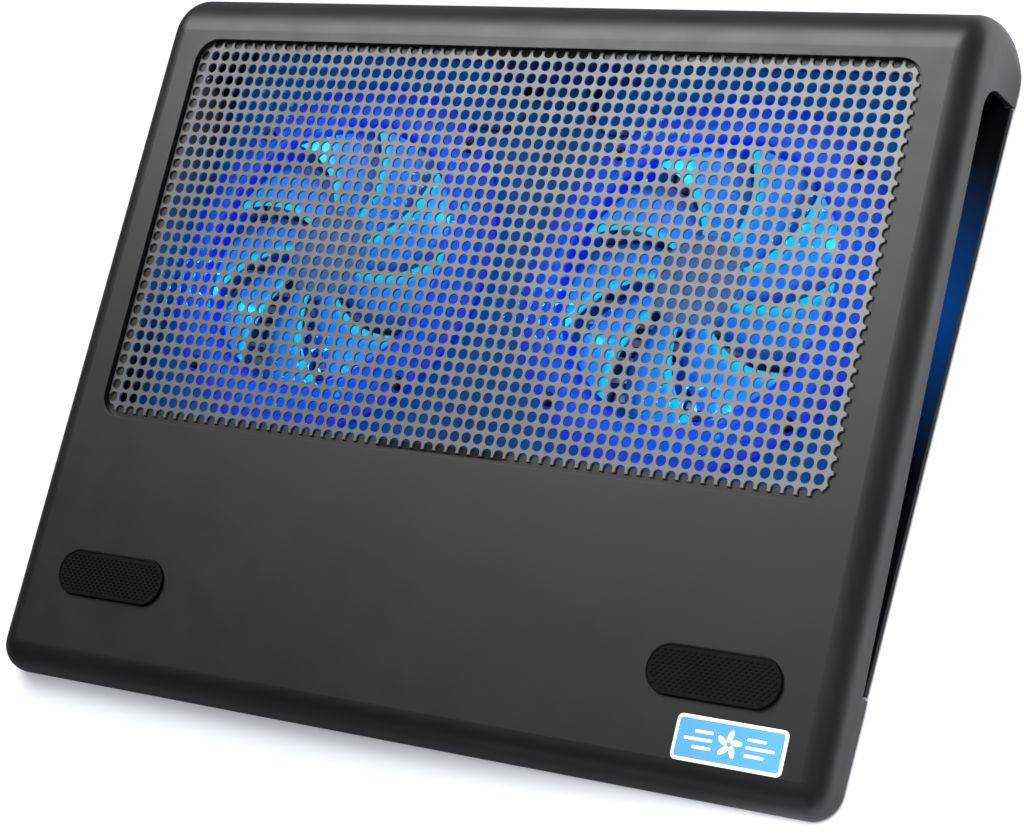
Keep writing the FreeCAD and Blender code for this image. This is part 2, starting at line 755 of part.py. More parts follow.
def make_impeller(label):
    """Hub cup with its ring of blades."""
    body = new_body(label + "_cup")
    skirt = "(hub_radius - hub_wall)"
    roof = "(hub_top - hub_roof)"
    cup = revolution(body, label + "_cup_turn", [
        ("shaft_radius", f"{roof} - 0.6"), ("2.4", f"{roof} - 0.6"), ("2.4", roof), (skirt, roof),
        (skirt, "hub_low"), ("hub_radius", "hub_low"), ("hub_radius", "hub_top"), ("0", "hub_top"),
        ("0", "hub_top - 0.6"), ("shaft_radius", "hub_top - 0.6")])
    top = size_of("hub_top")
    rim = size_of("hub_radius")
    fillet(body, label + "_cup_edge", cup,
           lambda edge: abs(edge.CenterOfMass.z - top) < 0.01 and edge.Length > 6.0 * rim, "0.6")
    doc.recompute()
    count = int(size_of("blade_count"))
    blade = make_blade()
    blades = []
    for i in range(count):
        turned = blade.copy()
        turned.rotate(V(0, 0, 0), V(0, 0, 1), 360.0 * i / count)
        blades.append(turned)
    feature = doc.addObject("Part::Feature", label)
    feature.Label = label
    feature.Shape = body.Shape.fuse(blades).removeSplitter()
    return feature


def make_stator(label):
    """Steel core with four spokes and split shoes."""
    low = "core_low"
    high = "core_high"
    ring = tube(label + "_hub", "0", "0", low, high, "core_hub", "bush_radius + 0.95")
    rim = tube(label + "_rim", "0", "0", low, high, "core_rim", "core_rim - core_rim_wall")
    spokes = []
    for side in (-1, 1):
        near = f"{side} * spoke_middle - spoke_reach"
        far = f"{side} * spoke_middle + spoke_reach"
        spokes.append(slab(f"{label}_spoke_x{side}", near, "-spoke_half", low,
                           far, "spoke_half", high))
        spokes.append(slab(f"{label}_spoke_y{side}", "-spoke_half", near, low,
                           "spoke_half", far, high))
    star = union(label + "_star", [ring, rim] + spokes)
    gaps = []
    for angle in (45, 135):
        gap = slab(f"{label}_gap_{angle}", "-20", "-shoe_gap_half", low,
                   "20", "shoe_gap_half", high)
        gap.Placement = FreeCAD.Placement(V(0, 0, 0), FreeCAD.Rotation(V(0, 0, 1), angle))
        bind(gap, ".Placement.Base.x", f"-20 * cos({angle} deg) + shoe_gap_half * sin({angle} deg)")
        bind(gap, ".Placement.Base.y", f"-20 * sin({angle} deg) - shoe_gap_half * cos({angle} deg)")
        bind(gap, ".Placement.Base.z", low)
        gaps.append(gap)
    middle = rod(label + "_keep", "0", "0", low, high, "core_rim - core_rim_wall - 1")
    return cut(label, star, cut(label + "_gaps", union(label + "_gap_bars", gaps), middle))


def make_coils(label):
    """Four copper windings, one round each spoke of the core."""
    coils = []
    for i, (cx, cy) in enumerate(((1, 0), (0, 1), (-1, 0), (0, -1))):
        half_x = "coil_half_long" if cx else "coil_half_wide"
        half_y = "coil_half_wide" if cx else "coil_half_long"
        bore_x = "coil_half_long + 0.8" if cx else "spoke_half + coil_play"
        bore_y = "spoke_half + coil_play" if cx else "coil_half_long + 0.8"
        x = f"{cx} * coil_middle"
        y = f"{cy} * coil_middle"
        outer = slab(f"{label}_{i}_out", f"{x} - {half_x}", f"{y} - {half_y}", "coil_low",
                     f"{x} + {half_x}", f"{y} + {half_y}", "coil_high")
        inner = slab(f"{label}_{i}_in", f"{x} - ({bore_x})", f"{y} - ({bore_y})",
                     "core_low - coil_play", f"{x} + {bore_x}", f"{y} + {bore_y}",
                     "core_high + coil_play")
        coils.append(cut(f"{label}_{i}", outer, inner))
    return group(label, coils)


def make_leds(label):
    """Four small lamps lying on the flange, looking inwards at the ring's wall."""
    lamps = []
    for i in range(4):
        lamp = doc.addObject("Part::Cylinder", f"{label}_{i}")
        bind(lamp, "Radius", "led_radius")
        bind(lamp, "Height", "led_length")
        angle = 22.5 + 90.0 * i
        lamp.Placement = FreeCAD.Placement(
            V(0, 0, 0), FreeCAD.Rotation(V(0, 0, 1), angle) * FreeCAD.Rotation(V(0, 1, 0), 90))
        start = "(bore_radius + ring_wall + 0.1)"
        bind(lamp, ".Placement.Base.x", f"{start} * cos({angle} deg)")
        bind(lamp, ".Placement.Base.y", f"{start} * sin({angle} deg)")
        bind(lamp, ".Placement.Base.z", "led_height")
        lamps.append(lamp)
    return group(label, lamps)


def rounded_route(points):
    """Straight runs joined by tangent arcs as large as the two runs allow."""
    edges = []
    at = points[0]
    for before, corner, after in zip(points, points[1:], points[2:]):
        inward = (corner - before).normalize()
        outward = (after - corner).normalize()
        half_turn = inward.getAngle(outward) / 2
        shorter = min(before.distanceToPoint(corner), corner.distanceToPoint(after))
        setback = 0.45 * shorter
        radius = setback / math.tan(half_turn)
        enter = corner - inward * setback
        leave = corner + outward * setback
        centre_way = (outward - inward).normalize()
        centre = corner + centre_way * (radius / math.cos(half_turn))
        middle = centre - centre_way * radius
        edges.append(Part.LineSegment(at, enter).toShape())
        edges.append(Part.Arc(enter, middle, leave).toShape())
        at = leave
    edges.append(Part.LineSegment(at, points[-1]).toShape())
    return Part.Wire(edges)


PLUG_X = 14.0
PLUG_FACE_Y = 107.0
LEAD_HEIGHT = 6.8


def make_lead(label, side):
    """The two-core lead from the fan's ring wall to its plug on the main board."""
    fan_x = size_of("fan_x")
    fan_y = size_of("fan_y")
    wall_r = size_of("bore_radius + ring_wall")
    away = math.radians(55.6)
    exit_x = fan_x - wall_r * math.cos(away)
    exit_y = fan_y + wall_r * math.sin(away)
    route = [(exit_x, exit_y, LEAD_HEIGHT),
             (exit_x - 16 * math.cos(away), exit_y + 16 * math.sin(away), LEAD_HEIGHT),
             (24.0, 94.0, 7.6), (PLUG_X, 99.0, 8.6), (PLUG_X, PLUG_FACE_Y, 8.8)]
    path = rounded_route([V(side * x, y, z) for x, y, z in route])
    start = path.Edges[0]
    ring = Part.Wire(Part.makeCircle(size_of("lead_radius"), start.valueAt(start.FirstParameter),
                                     start.tangentAt(start.FirstParameter)))
    feature = doc.addObject("Part::Feature", label)
    feature.Label = label
    feature.Shape = path.makePipeShell([ring], True, False)
    return feature


def make_fan(side_name, side):
    """Every piece of one fan, built on its own axis and moved to its place."""
    x = "fan_x" if side > 0 else "-fan_x"
    frame = make_fan_frame(f"fan_frame_{side_name}")
    impeller = make_impeller(f"impeller_{side_name}")
    skirt = "(hub_radius - hub_wall)"
    magnet = tube(f"magnet_ring_{side_name}", "0", "0", "magnet_low", "magnet_high",
                  f"{skirt} - 0.05", f"{skirt} - 0.05 - magnet_wall")
    shaft = rod(f"motor_shaft_{side_name}", "0", "0", "seat_low + seat_thickness + 0.1",
                "hub_top - 0.6", "shaft_radius")
    bush = tube(f"bearing_bush_{side_name}", "0", "0", "seat_low + seat_thickness",
                "hub_top - 2.4", "bush_radius", "shaft_radius + bush_play")
    core = make_stator(f"stator_core_{side_name}")
    coils = make_coils(f"stator_coils_{side_name}")
    board = tube(f"fan_board_{side_name}", "0", "0", "seat_low + seat_thickness",
                 "seat_low + seat_thickness + 0.8", "14.6", "bush_radius + 1")
    leds = make_leds(f"fan_leds_{side_name}")
    pieces = [frame, impeller, magnet, shaft, bush, core, coils, board, leds]
    for piece in pieces:
        offset_z = piece.Placement.Base.z
        piece.Placement = FreeCAD.Placement(V(0, 0, offset_z), piece.Placement.Rotation)
        bind(piece, ".Placement.Base.x", x)
        bind(piece, ".Placement.Base.y", "fan_y")
    screws = [make_screw(f"fan_screw_{side_name}_{i}", sx, sy, "flange_low + flange_thickness",
                         "flange_low + flange_thickness + 1.8", "2.6",
                         f"{COVER_TOP} + 0.6", "fan_screw_radius")
              for i, (sx, sy) in enumerate(fan_screw_points(x))]
    pieces.append(group(f"fan_screws_{side_name}", screws))
    pieces.append(make_lead(f"fan_lead_{side_name}", side))
    pieces.append(slab(f"lead_plug_{side_name}", f"{side * PLUG_X} - 2.6", str(PLUG_FACE_Y),
                       "6.8", f"{side * PLUG_X} + 2.6", "board_front", "11.4"))
    return pieces


# --- main board, ports and switch -----------------------------------------------------------------

PORT_X = ["-20", "0"]


def make_port(label, x):
    """Folded metal shell of a socket, open to the rear."""
    low = "(board_low + board_thickness)"
    rear = "(bay_wall_y + port_proud)"
    outer = slab(label + "_out", f"{x} - port_width / 2", f"{rear} - port_depth", low,
                 f"{x} + port_width / 2", rear, f"{low} + port_height")
    inner = slab(label + "_in", f"{x} - port_width / 2 + port_wall",
                 f"{rear} - port_depth + port_wall", f"{low} + port_wall",
                 f"{x} + port_width / 2 - port_wall", f"{rear} + 1",
                 f"{low} + port_height - port_wall")
    return cut(label, outer, inner)


def make_tongue(label, x):
    """The socket's plastic insert: a block at the back and a blade that holds the contacts."""
    low = "(board_low + board_thickness)"
    rear = "(bay_wall_y + port_proud)"
    inset = "port_wall + tongue_play"
    back = slab(label + "_back", f"{x} - port_width / 2 + {inset}",
                f"{rear} - port_depth + port_wall", f"{low} + {inset}",
                f"{x} + port_width / 2 - ({inset})", f"{rear} - port_depth + tongue_root",
                f"{low} + port_height - ({inset})")
    blade = slab(label + "_blade", f"{x} - tongue_half", f"{rear} - port_depth + tongue_root - 1",
                 f"{low} + port_height - tongue_top - tongue_thickness", f"{x} + tongue_half",
                 f"{rear} - tongue_short", f"{low} + port_height - tongue_top")
    return union(label, [back, blade])


def make_rear_electronics():
    top = "(board_low + board_thickness)"
    plate = slab("main_board_plate", "-board_half_x", "board_front", "board_low",
                 "board_half_x", "board_rear", top)
    holes = union("main_board_holes", [rod(f"board_hole_{i}", x, y, "board_low", top, "1.4")
                                       for i, (x, y) in enumerate(BOARD_POSTS)])
    board = cut("main_board", plate, holes)
    screws = group("board_screws", [
        make_screw(f"board_screw_{i}", x, y, top, f"{top} + 1.4", "2 * board_screw_radius",
                   f"{COVER_TOP} + 0.6", "board_screw_radius")
        for i, (x, y) in enumerate(BOARD_POSTS)])
    ports = [make_port("usb_power_inlet", PORT_X[0]), make_port("usb_pass_through", PORT_X[1])]
    tongues = [make_tongue("inlet_tongue", PORT_X[0]), make_tongue("pass_through_tongue", PORT_X[1])]
    body = slab("switch_body", "switch_x - switch_half_x", "bay_wall_y - 9", top,
                "switch_x + switch_half_x", "bay_wall_y - 2.6", f"{top} + switch_height")
    start = "(switch_x - (knob_width + knob_travel) / 2)"
    knob = slab("switch_knob", start, "bay_wall_y - 2.5", f"{top} + 1.3",
                f"{start} + knob_width", "bay_wall_y + 1.6", f"{top} + 3.5")
    return [board, screws, body, knob] + ports + tongues


# --- build, test and write --------------------------------------------------------------------

subparts = [make_top_shell(), make_bottom_cover(), make_grille()]
subparts += make_deck_trim()
subparts += make_case_hardware()
subparts += make_rear_electronics()
for fan_name, fan_side in (("left", -1), ("right", 1)):
    subparts += make_fan(fan_name, fan_side)
doc.recompute()

faults = [item.Label for item in doc.Objects if "Invalid" in item.State or "Error" in item.State]
if faults:
    raise RuntimeError(f"failed features: {faults}")
os.makedirs("parts", exist_ok=True)
for subpart in subparts:
    shape = subpart.Shape
    if shape.isNull() or not shape.isValid() or not shape.Solids:
        raise RuntimeError(f"{subpart.Label} has no valid shape")
    shape.exportStep(f"parts/{subpart.Label}.step")
    print(f"{subpart.Label}: {len(shape.Solids)} solid(s), {shape.Volume / 1000:.2f} cm3")
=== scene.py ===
# %% [markdown]
# # A laptop cooling pad, finished in Blender
# The case, the fans and the electronics arrive as one fixed model, in metres, standing on the
# desk. This lesson gives each of them its finish, remakes the small pieces that need finer
# detail than their plain solids have, and lights them as in a small studio.

# %% Load the model
import json
import math

import bpy
from mathutils import Matrix, Vector

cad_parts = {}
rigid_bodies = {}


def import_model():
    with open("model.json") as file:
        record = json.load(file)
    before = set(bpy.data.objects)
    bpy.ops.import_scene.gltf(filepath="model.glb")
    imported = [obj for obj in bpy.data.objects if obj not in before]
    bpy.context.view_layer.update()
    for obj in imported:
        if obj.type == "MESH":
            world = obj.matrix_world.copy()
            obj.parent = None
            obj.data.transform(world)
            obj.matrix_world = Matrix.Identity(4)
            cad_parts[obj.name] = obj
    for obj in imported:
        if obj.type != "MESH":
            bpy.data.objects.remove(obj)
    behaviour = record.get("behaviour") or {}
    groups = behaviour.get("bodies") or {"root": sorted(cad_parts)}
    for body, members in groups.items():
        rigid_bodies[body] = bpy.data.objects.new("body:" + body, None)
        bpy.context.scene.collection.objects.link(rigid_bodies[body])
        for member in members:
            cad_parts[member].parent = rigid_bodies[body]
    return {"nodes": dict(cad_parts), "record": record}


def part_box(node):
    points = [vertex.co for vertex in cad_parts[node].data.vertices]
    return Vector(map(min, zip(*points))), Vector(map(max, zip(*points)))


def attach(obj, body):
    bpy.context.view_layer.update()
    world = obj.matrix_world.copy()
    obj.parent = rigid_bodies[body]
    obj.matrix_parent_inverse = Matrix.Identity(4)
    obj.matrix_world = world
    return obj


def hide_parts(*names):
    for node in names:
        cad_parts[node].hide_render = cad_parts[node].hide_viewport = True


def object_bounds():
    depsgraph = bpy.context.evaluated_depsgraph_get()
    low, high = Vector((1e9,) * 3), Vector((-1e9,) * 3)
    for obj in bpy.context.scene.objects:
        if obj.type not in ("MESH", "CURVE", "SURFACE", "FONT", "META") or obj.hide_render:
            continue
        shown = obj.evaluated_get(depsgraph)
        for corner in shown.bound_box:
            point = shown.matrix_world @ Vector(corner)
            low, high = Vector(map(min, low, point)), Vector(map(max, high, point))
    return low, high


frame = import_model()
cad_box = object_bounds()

MM = 0.001
nodes = frame["nodes"]
size = cad_box[1] - cad_box[0]
print("the pad measures", [round(side / MM, 1) for side in size], "mm")

# %% [markdown]
# The deck leans back, so what lies on it is easiest to make flat and then lean. The record
# says where the laptop rests: a point on a grip pad and the deck's own upward direction. From
# those two come the lean and a box measured along the deck for any piece that lies on it.

# %% The deck's own frame
deck_mount = next(m for m in frame["record"]["mounts"] if m["name"] == "laptop_pad_right")
deck_up = Vector(deck_mount["axis"]).normalized()
deck_lean = math.atan2(-deck_up.y, deck_up.z)
deck_turn = Matrix.Rotation(deck_lean, 4, "X")
deck_origin = Vector(deck_mount["pos_m"])
deck_place = Matrix.Translation(deck_origin) @ deck_turn


def deck_box(node):
    """Lowest and highest corner of a node, measured along the deck."""
    back = deck_place.inverted()
    corners = [back @ v.co for v in nodes[node].data.vertices]
    low = Vector([min(c[i] for c in corners) for i in range(3)])
    high = Vector([max(c[i] for c in corners) for i in range(3)])
    return low, high


print("the deck leans", round(math.degrees(deck_lean), 2), "degrees")

# %% [markdown]
# A few helpers are used all through. An operator acts on whatever is selected, so each piece
# starts with nothing selected. In edit mode, faces and edges are picked by where they are.

# %% Helpers for modelling


def start_fresh():
    """Leave edit mode and select nothing."""
    if bpy.context.object and bpy.context.object.mode != "OBJECT":
        bpy.ops.object.mode_set(mode="OBJECT")
    bpy.ops.object.select_all(action="DESELECT")


def pick(piece, faces=None, edges=None, verts=None):
    """In edit mode, select the parts of the mesh that a test accepts."""
    kind = "FACE" if faces else "EDGE" if edges else "VERT"
    bpy.ops.mesh.select_mode(type=kind)
    bpy.ops.mesh.select_all(action="DESELECT")
    bpy.ops.object.mode_set(mode="OBJECT")
    mesh = piece.data
    chosen = 0
    if faces:
        for face in mesh.polygons:
            face.select = bool(faces(face))
            chosen += face.select
    elif edges:
        for edge in mesh.edges:
            a, b = (mesh.vertices[i].co for i in edge.vertices)
            edge.select = bool(edges(a, b))
            chosen += edge.select
    else:
        for vertex in mesh.vertices:
            vertex.select = bool(verts(vertex.co))
            chosen += vertex.select
    bpy.ops.object.mode_set(mode="EDIT")
    return chosen


def settle(piece, place=None, angle=35):
    """Put the piece's place into its mesh, leave its object at the origin, and smooth it."""
    if piece.mode != "OBJECT":
        bpy.ops.object.mode_set(mode="OBJECT")
    bpy.ops.object.select_all(action="DESELECT")
    piece.select_set(True)
    bpy.context.view_layer.objects.active = piece
    if place is not None:
        piece.matrix_world = place @ piece.matrix_world
    bpy.ops.object.transform_apply(location=True, rotation=True, scale=True)
    bpy.ops.object.mode_set(mode="EDIT")
    bpy.ops.mesh.select_all(action="SELECT")
    bpy.ops.mesh.remove_doubles(threshold=1e-6)
    bpy.ops.mesh.normals_make_consistent(inside=False)
    bpy.ops.object.mode_set(mode="OBJECT")
    bpy.ops.object.shade_smooth_by_angle(angle=math.radians(angle))
    piece.select_set(False)
    return piece


def put_on(piece, body, slot, finish, *stands_for):
    """Give a finished piece its body, its material and the nodes it stands for; slot is unused.
    """
    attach(piece, body)
    piece.data.materials.clear()
    piece.data.materials.append(finish)
    if stands_for:
        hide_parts(*stands_for)
    print(piece.name, "has", len(piece.data.polygons), "faces")
    return piece


def own_copy(piece, name):
    """A copy with its own mesh."""
    twin = piece.copy()
    twin.data = piece.data.copy()
    twin.name = twin.data.name = name
    bpy.context.collection.objects.link(twin)
    return twin


def islands(node, reach=8 * MM):
    """The boxes of a node's separate solids, told apart by their distance in plan."""
    groups = []
    for vertex in nodes[node].data.vertices:
        here = vertex.co
        for group in groups:
            if (group["seed"].xy - here.xy).length < reach:
                break
        else:
            group = {"seed": here.copy(), "low": here.copy(), "high": here.copy()}
            groups.append(group)
        for i in range(3):
            group["low"][i] = min(group["low"][i], here[i])
            group["high"][i] = max(group["high"][i], here[i])
    return sorted(((g["low"], g["high"]) for g in groups), key=lambda b: (b[0].x, b[0].y))


print("screws in the case:", len(islands("case_screws")))

# %% [markdown]
# ## Camera
# The pad is seen from above its right front corner, with the camera rolled so that the pad
# seems to stand on its front left corner. The lens is long, as for a product picture, so the
# long edges stay nearly parallel.

# %% The camera
CAMERA_AT = (0.58697, -0.27871, 0.81895)
SENSOR_MM = 36.0
LENS_MM = 101.6
LENS_SHIFT = (-0.0195, -0.0195)
right = Vector((0.83010, 0.27380, -0.48576))
up = Vector((-0.08877, 0.92492, 0.36964))
forward = Vector((-0.55050, 0.26373, -0.79209))
camera_data = bpy.data.cameras.new("studio_camera")
camera = bpy.data.objects.new("studio_camera", camera_data)
bpy.context.collection.objects.link(camera)
turn = Matrix((right, up, -forward)).transposed().to_4x4()
camera.matrix_world = Matrix.Translation(CAMERA_AT) @ turn
camera_data.sensor_width = SENSOR_MM
camera_data.lens = LENS_MM
camera_data.shift_x, camera_data.shift_y = LENS_SHIFT
camera_data.clip_start = 0.01
bpy.context.scene.camera = camera
print("the camera is", round(camera.location.length, 2), "m from the middle of the pad")

# %% [markdown]
# ## Studio
# A product like this is shot on a white sweep under soft boxes. The key box stands behind the
# pad on the left, where the deck mirrors it into the lens: that gives the deck its slow fade
# from grey at the back to nearly black at the front. A strip over the floor on the right makes
# that floor very bright, and its mirror image draws the bright line along the rounded side.
# The room's white walls fill the shadows, but black cloth hangs wherever the gloss would
# mirror them, so the rounded edges keep the dark bands that show their shape.

# %% Floor, room and soft boxes
FLOOR_SIDE = 12.0
FLOOR_WHITE = (0.66, 0.665, 0.69, 1)
ROOM_WHITE = (0.95, 0.97, 1.0, 1)
ROOM_STRENGTH = 0.98
CLOTH_STRENGTH = 0.03
MIRRORED_GREY = (0.15, 0.152, 0.16, 1)
GREY_ENDS = (0.12, 0.22)
MIDDLE = (0, 0, 0)
KEY_WATTS = 25
STRIP_WATTS = 22
FILL_WATTS = 1.0
scene = bpy.context.scene
scene.view_settings.view_transform = "Standard"

start_fresh()
bpy.ops.mesh.primitive_plane_add(size=FLOOR_SIDE, location=MIDDLE)
floor = bpy.context.object
floor.name = "studio_floor"
floor_paint = bpy.data.materials.new("floor_paint")
floor_paint.use_nodes = True
floor_tree = floor_paint.node_tree
paint = floor_tree.nodes["Principled BSDF"]
paint.inputs["Base Color"].default_value = FLOOR_WHITE
paint.inputs["Roughness"].default_value = 0.9
paint.inputs["Emission Color"].default_value = (0.93, 0.95, 1.0, 1)
paint.inputs["Emission Strength"].default_value = 0.04
floor.data.materials.append(floor_paint)

world = bpy.data.worlds.new("studio_room")
scene.world = world
world.use_nodes = True
room_tree = world.node_tree
room_light = room_tree.nodes["Background"]
room_light.inputs["Color"].default_value = ROOM_WHITE
room_light.inputs["Strength"].default_value = ROOM_STRENGTH
black_cloth = room_tree.nodes.new("ShaderNodeBackground")
black_cloth.inputs["Color"].default_value = (0.9, 0.93, 1.0, 1)
black_cloth.inputs["Strength"].default_value = CLOTH_STRENGTH
ray_kind = room_tree.nodes.new("ShaderNodeLightPath")
choice = room_tree.nodes.new("ShaderNodeMixShader")
room_tree.links.new(ray_kind.outputs["Is Glossy Ray"], choice.inputs["Fac"])
room_tree.links.new(room_light.outputs[0], choice.inputs[1])
room_tree.links.new(black_cloth.outputs[0], choice.inputs[2])
room_tree.links.new(choice.outputs[0], room_tree.nodes["World Output"].inputs["Surface"])


def soft_box(name, place, aim, wide, tall, watts, angle=180):
    """A rectangular soft light that looks at a point, narrowed by a grid if need be."""
    data = bpy.data.lights.new(name, "AREA")
    data.shape = "RECTANGLE"
    data.size = wide
    data.size_y = tall
    data.energy = watts
    data.spread = math.radians(angle)
    lamp = bpy.data.objects.new(name, data)
    lamp.location = place
    lamp.rotation_euler = (Vector(aim) - Vector(place)).to_track_quat("-Z", "Y").to_euler()
    lamp.visible_camera = False
    bpy.context.collection.objects.link(lamp)
    return lamp


soft_box("key_box", (-0.64, 0.78, 1.15), MIDDLE, 1.1, 0.8, KEY_WATTS)
strip = soft_box("floor_strip", (0.64, 0.10, 0.8), (0.64, 0.10, 0), 0.5, 1.2, STRIP_WATTS,
                 angle=60)
strip.visible_glossy = False
soft_box("front_fill", (-0.3, -1.5, 0.5), MIDDLE, 1.2, 0.25, FILL_WATTS)

# %% [markdown]
# ## Finishes
# Every finish is made from nodes that read the Object coordinates, so a grain has its true
# size in millimetres on any piece. One helper gives the shared parts of a moulded or painted
# surface: a slow colour drift, a roughness that varies as handling leaves it, and a fine grain
# in the bump. The steady numbers sit straight on the shader's own sockets.

# %% Helpers for finishes


def new_finish(name):
    """A material with its node tree, its shader and its Object coordinates."""
    finish = bpy.data.materials.new(name)
    finish.use_nodes = True
    tree = finish.node_tree
    shader = tree.nodes["Principled BSDF"]
    coords = tree.nodes.new("ShaderNodeTexCoord")
    return finish, tree, shader, coords.outputs["Object"]


def noise(tree, where, per_mm, detail=3.0, rough=0.5):
    """Noise with a given number of bumps to the millimetre."""
    node = tree.nodes.new("ShaderNodeTexNoise")
    node.inputs["Scale"].default_value = per_mm / MM
    node.inputs["Detail"].default_value = detail
    node.inputs["Roughness"].default_value = rough
    tree.links.new(where, node.inputs["Vector"])
    return node.outputs["Fac"]


def ramp(tree, value, *stops):
    """A colour ramp from (position, colour) stops."""
    node = tree.nodes.new("ShaderNodeValToRGB")
    band = node.color_ramp
    while len(band.elements) < len(stops):
        band.elements.new(0.5)
    for element, (position, colour) in zip(band.elements, stops):
        element.position = position
        element.color = (*colour, 1)
    tree.links.new(value, node.inputs["Fac"])
    return node.outputs["Color"]


def spread(tree, value, low, high, start=0.3, end=0.7):
    """Move a value from one range to another."""
    node = tree.nodes.new("ShaderNodeMapRange")
    node.inputs["From Min"].default_value = start
    node.inputs["From Max"].default_value = end
    node.inputs["To Min"].default_value = low
    node.inputs["To Max"].default_value = high
    tree.links.new(value, node.inputs["Value"])
    return node.outputs["Result"]


def sums(tree, kind, a, b=None):
    """One math node. Each input is a socket or a number."""
    node = tree.nodes.new("ShaderNodeMath")
    node.operation = kind
    for socket, value in zip(node.inputs, (a, b)):
        if isinstance(value, (int, float)):
            socket.default_value = value
        elif value is not None:
            tree.links.new(value, socket)
    return node.outputs[0]


def bump(tree, shader, height, depth, strength=1.0, base=None):
    """Raise the surface by a height pattern, on top of an earlier normal if one is given."""
    node = tree.nodes.new("ShaderNodeBump")
    node.inputs["Strength"].default_value = strength
    node.inputs["Distance"].default_value = depth
    tree.links.new(height, node.inputs["Height"])
    if base is not None:
        tree.links.new(base, node.inputs["Normal"])
    tree.links.new(node.outputs["Normal"], shader.inputs["Normal"])
    return node.outputs["Normal"]


def mixed(tree, amount, a, b):
    """Blend two colours by an amount; the first may be a plain colour."""
    node = tree.nodes.new("ShaderNodeMix")
    node.data_type = "RGBA"
    tree.links.new(amount, node.inputs["Factor"])
    first = next(s for s in node.inputs if s.name == "A" and s.type == "RGBA")
    if isinstance(a, tuple):
        first.default_value = (*a, 1)
    else:
        tree.links.new(a, first)
    tree.links.new(b, next(s for s in node.inputs if s.name == "B" and s.type == "RGBA"))
    return next(s for s in node.outputs if s.type == "RGBA")


def moulded(name, dark, light, rough, grain_mm=0.35, depth=0.02, soften=0.0, metal=0.0):
    """A moulded, cast or painted surface: colour drift, uneven gloss and a fine grain."""
    finish, tree, shader, where = new_finish(name)
    drift = noise(tree, where, 0.02, detail=4)
    tree.links.new(ramp(tree, drift, (0.35, dark), (0.65, light)), shader.inputs["Base Color"])
    handled = noise(tree, where, 0.06, detail=6, rough=0.62)
    tree.links.new(spread(tree, handled, rough[0], rough[1]), shader.inputs["Roughness"])
    shader.inputs["Metallic"].default_value = metal
    rounded = None
    if soften:
        edge = tree.nodes.new("ShaderNodeBevel")
        edge.samples = 4
        edge.inputs["Radius"].default_value = soften
        rounded = edge.outputs["Normal"]
    bump(tree, shader, noise(tree, where, 1 / grain_mm, detail=2), depth * MM, base=rounded)
    return finish, tree, shader, where


finishes = {}

# %% [markdown]
# In the pad's gloss, a white floor would look too bright at the back and the front. A Light
# Path node tells a mirrored ray from the others, and shows such a ray a grey floor. Only the
# floor on the right is mirrored as it is, because it draws the bright line on that side.

# %% The floor as the gloss mirrors it
floor_split = floor_tree.nodes.new("ShaderNodeSeparateXYZ")
floor_where = floor_tree.nodes.new("ShaderNodeTexCoord").outputs["Object"]
floor_tree.links.new(floor_where, floor_split.inputs[0])
grey_here = spread(floor_tree, floor_split.outputs["X"], 1.0, 0.0, *GREY_ENDS)
ray = floor_tree.nodes.new("ShaderNodeLightPath")
grey_floor = floor_tree.nodes.new("ShaderNodeBsdfDiffuse")
grey_floor.inputs["Color"].default_value = MIRRORED_GREY
floor_look = floor_tree.nodes.new("ShaderNodeMixShader")
mirrored = sums(floor_tree, "MULTIPLY", grey_here, ray.outputs["Is Glossy Ray"])
floor_tree.links.new(mirrored, floor_look.inputs["Fac"])
floor_tree.links.new(paint.outputs[0], floor_look.inputs[1])
floor_tree.links.new(grey_floor.outputs[0], floor_look.inputs[2])
floor_tree.links.new(floor_look.outputs[0], floor_tree.nodes["Material Output"].inputs["Surface"])
print("the mirrored floor is grey up to", GREY_ENDS[0], "m right of the middle")

# %% [markdown]
# The case is spark-eroded ABS: charcoal, satin, with a grain too fine to see as dots. Only
# the way it breaks up a highlight shows it. Its cut edges are never razor sharp, so a Bevel
# node rounds the shading there by a third of a millimetre. The underside is the same plastic,
# blacker and duller.

# %% Case plastics
finishes["shell_plastic"], shell_tree, shell_shader, shell_where = moulded(
    "satin_charcoal_abs", (0.0052, 0.0052, 0.0054), (0.0070, 0.0070, 0.0072), (0.38, 0.45),
    grain_mm=0.32, depth=0.006, soften=0.35 * MM)
shell_shader.inputs["Specular IOR Level"].default_value = 0.55
finishes["cover_plastic"], cover_tree, cover_shader, cover_where = moulded(
    "matt_black_abs", (0.006, 0.006, 0.0065), (0.010, 0.010, 0.011), (0.50, 0.62),
    grain_mm=0.5, depth=0.02, soften=0.3 * MM)
cover_shader.inputs["Specular IOR Level"].default_value = 0.12
print("case finishes:", sorted(finishes))

# %% [markdown]
# The ledge that carries the grille is made quite dull, so that nothing gleams between the
# sheet's teeth. Its place is known from the grille's own box: below the deck, and just past the
# sheet's edges. The height is measured square to the deck, with a dot product.

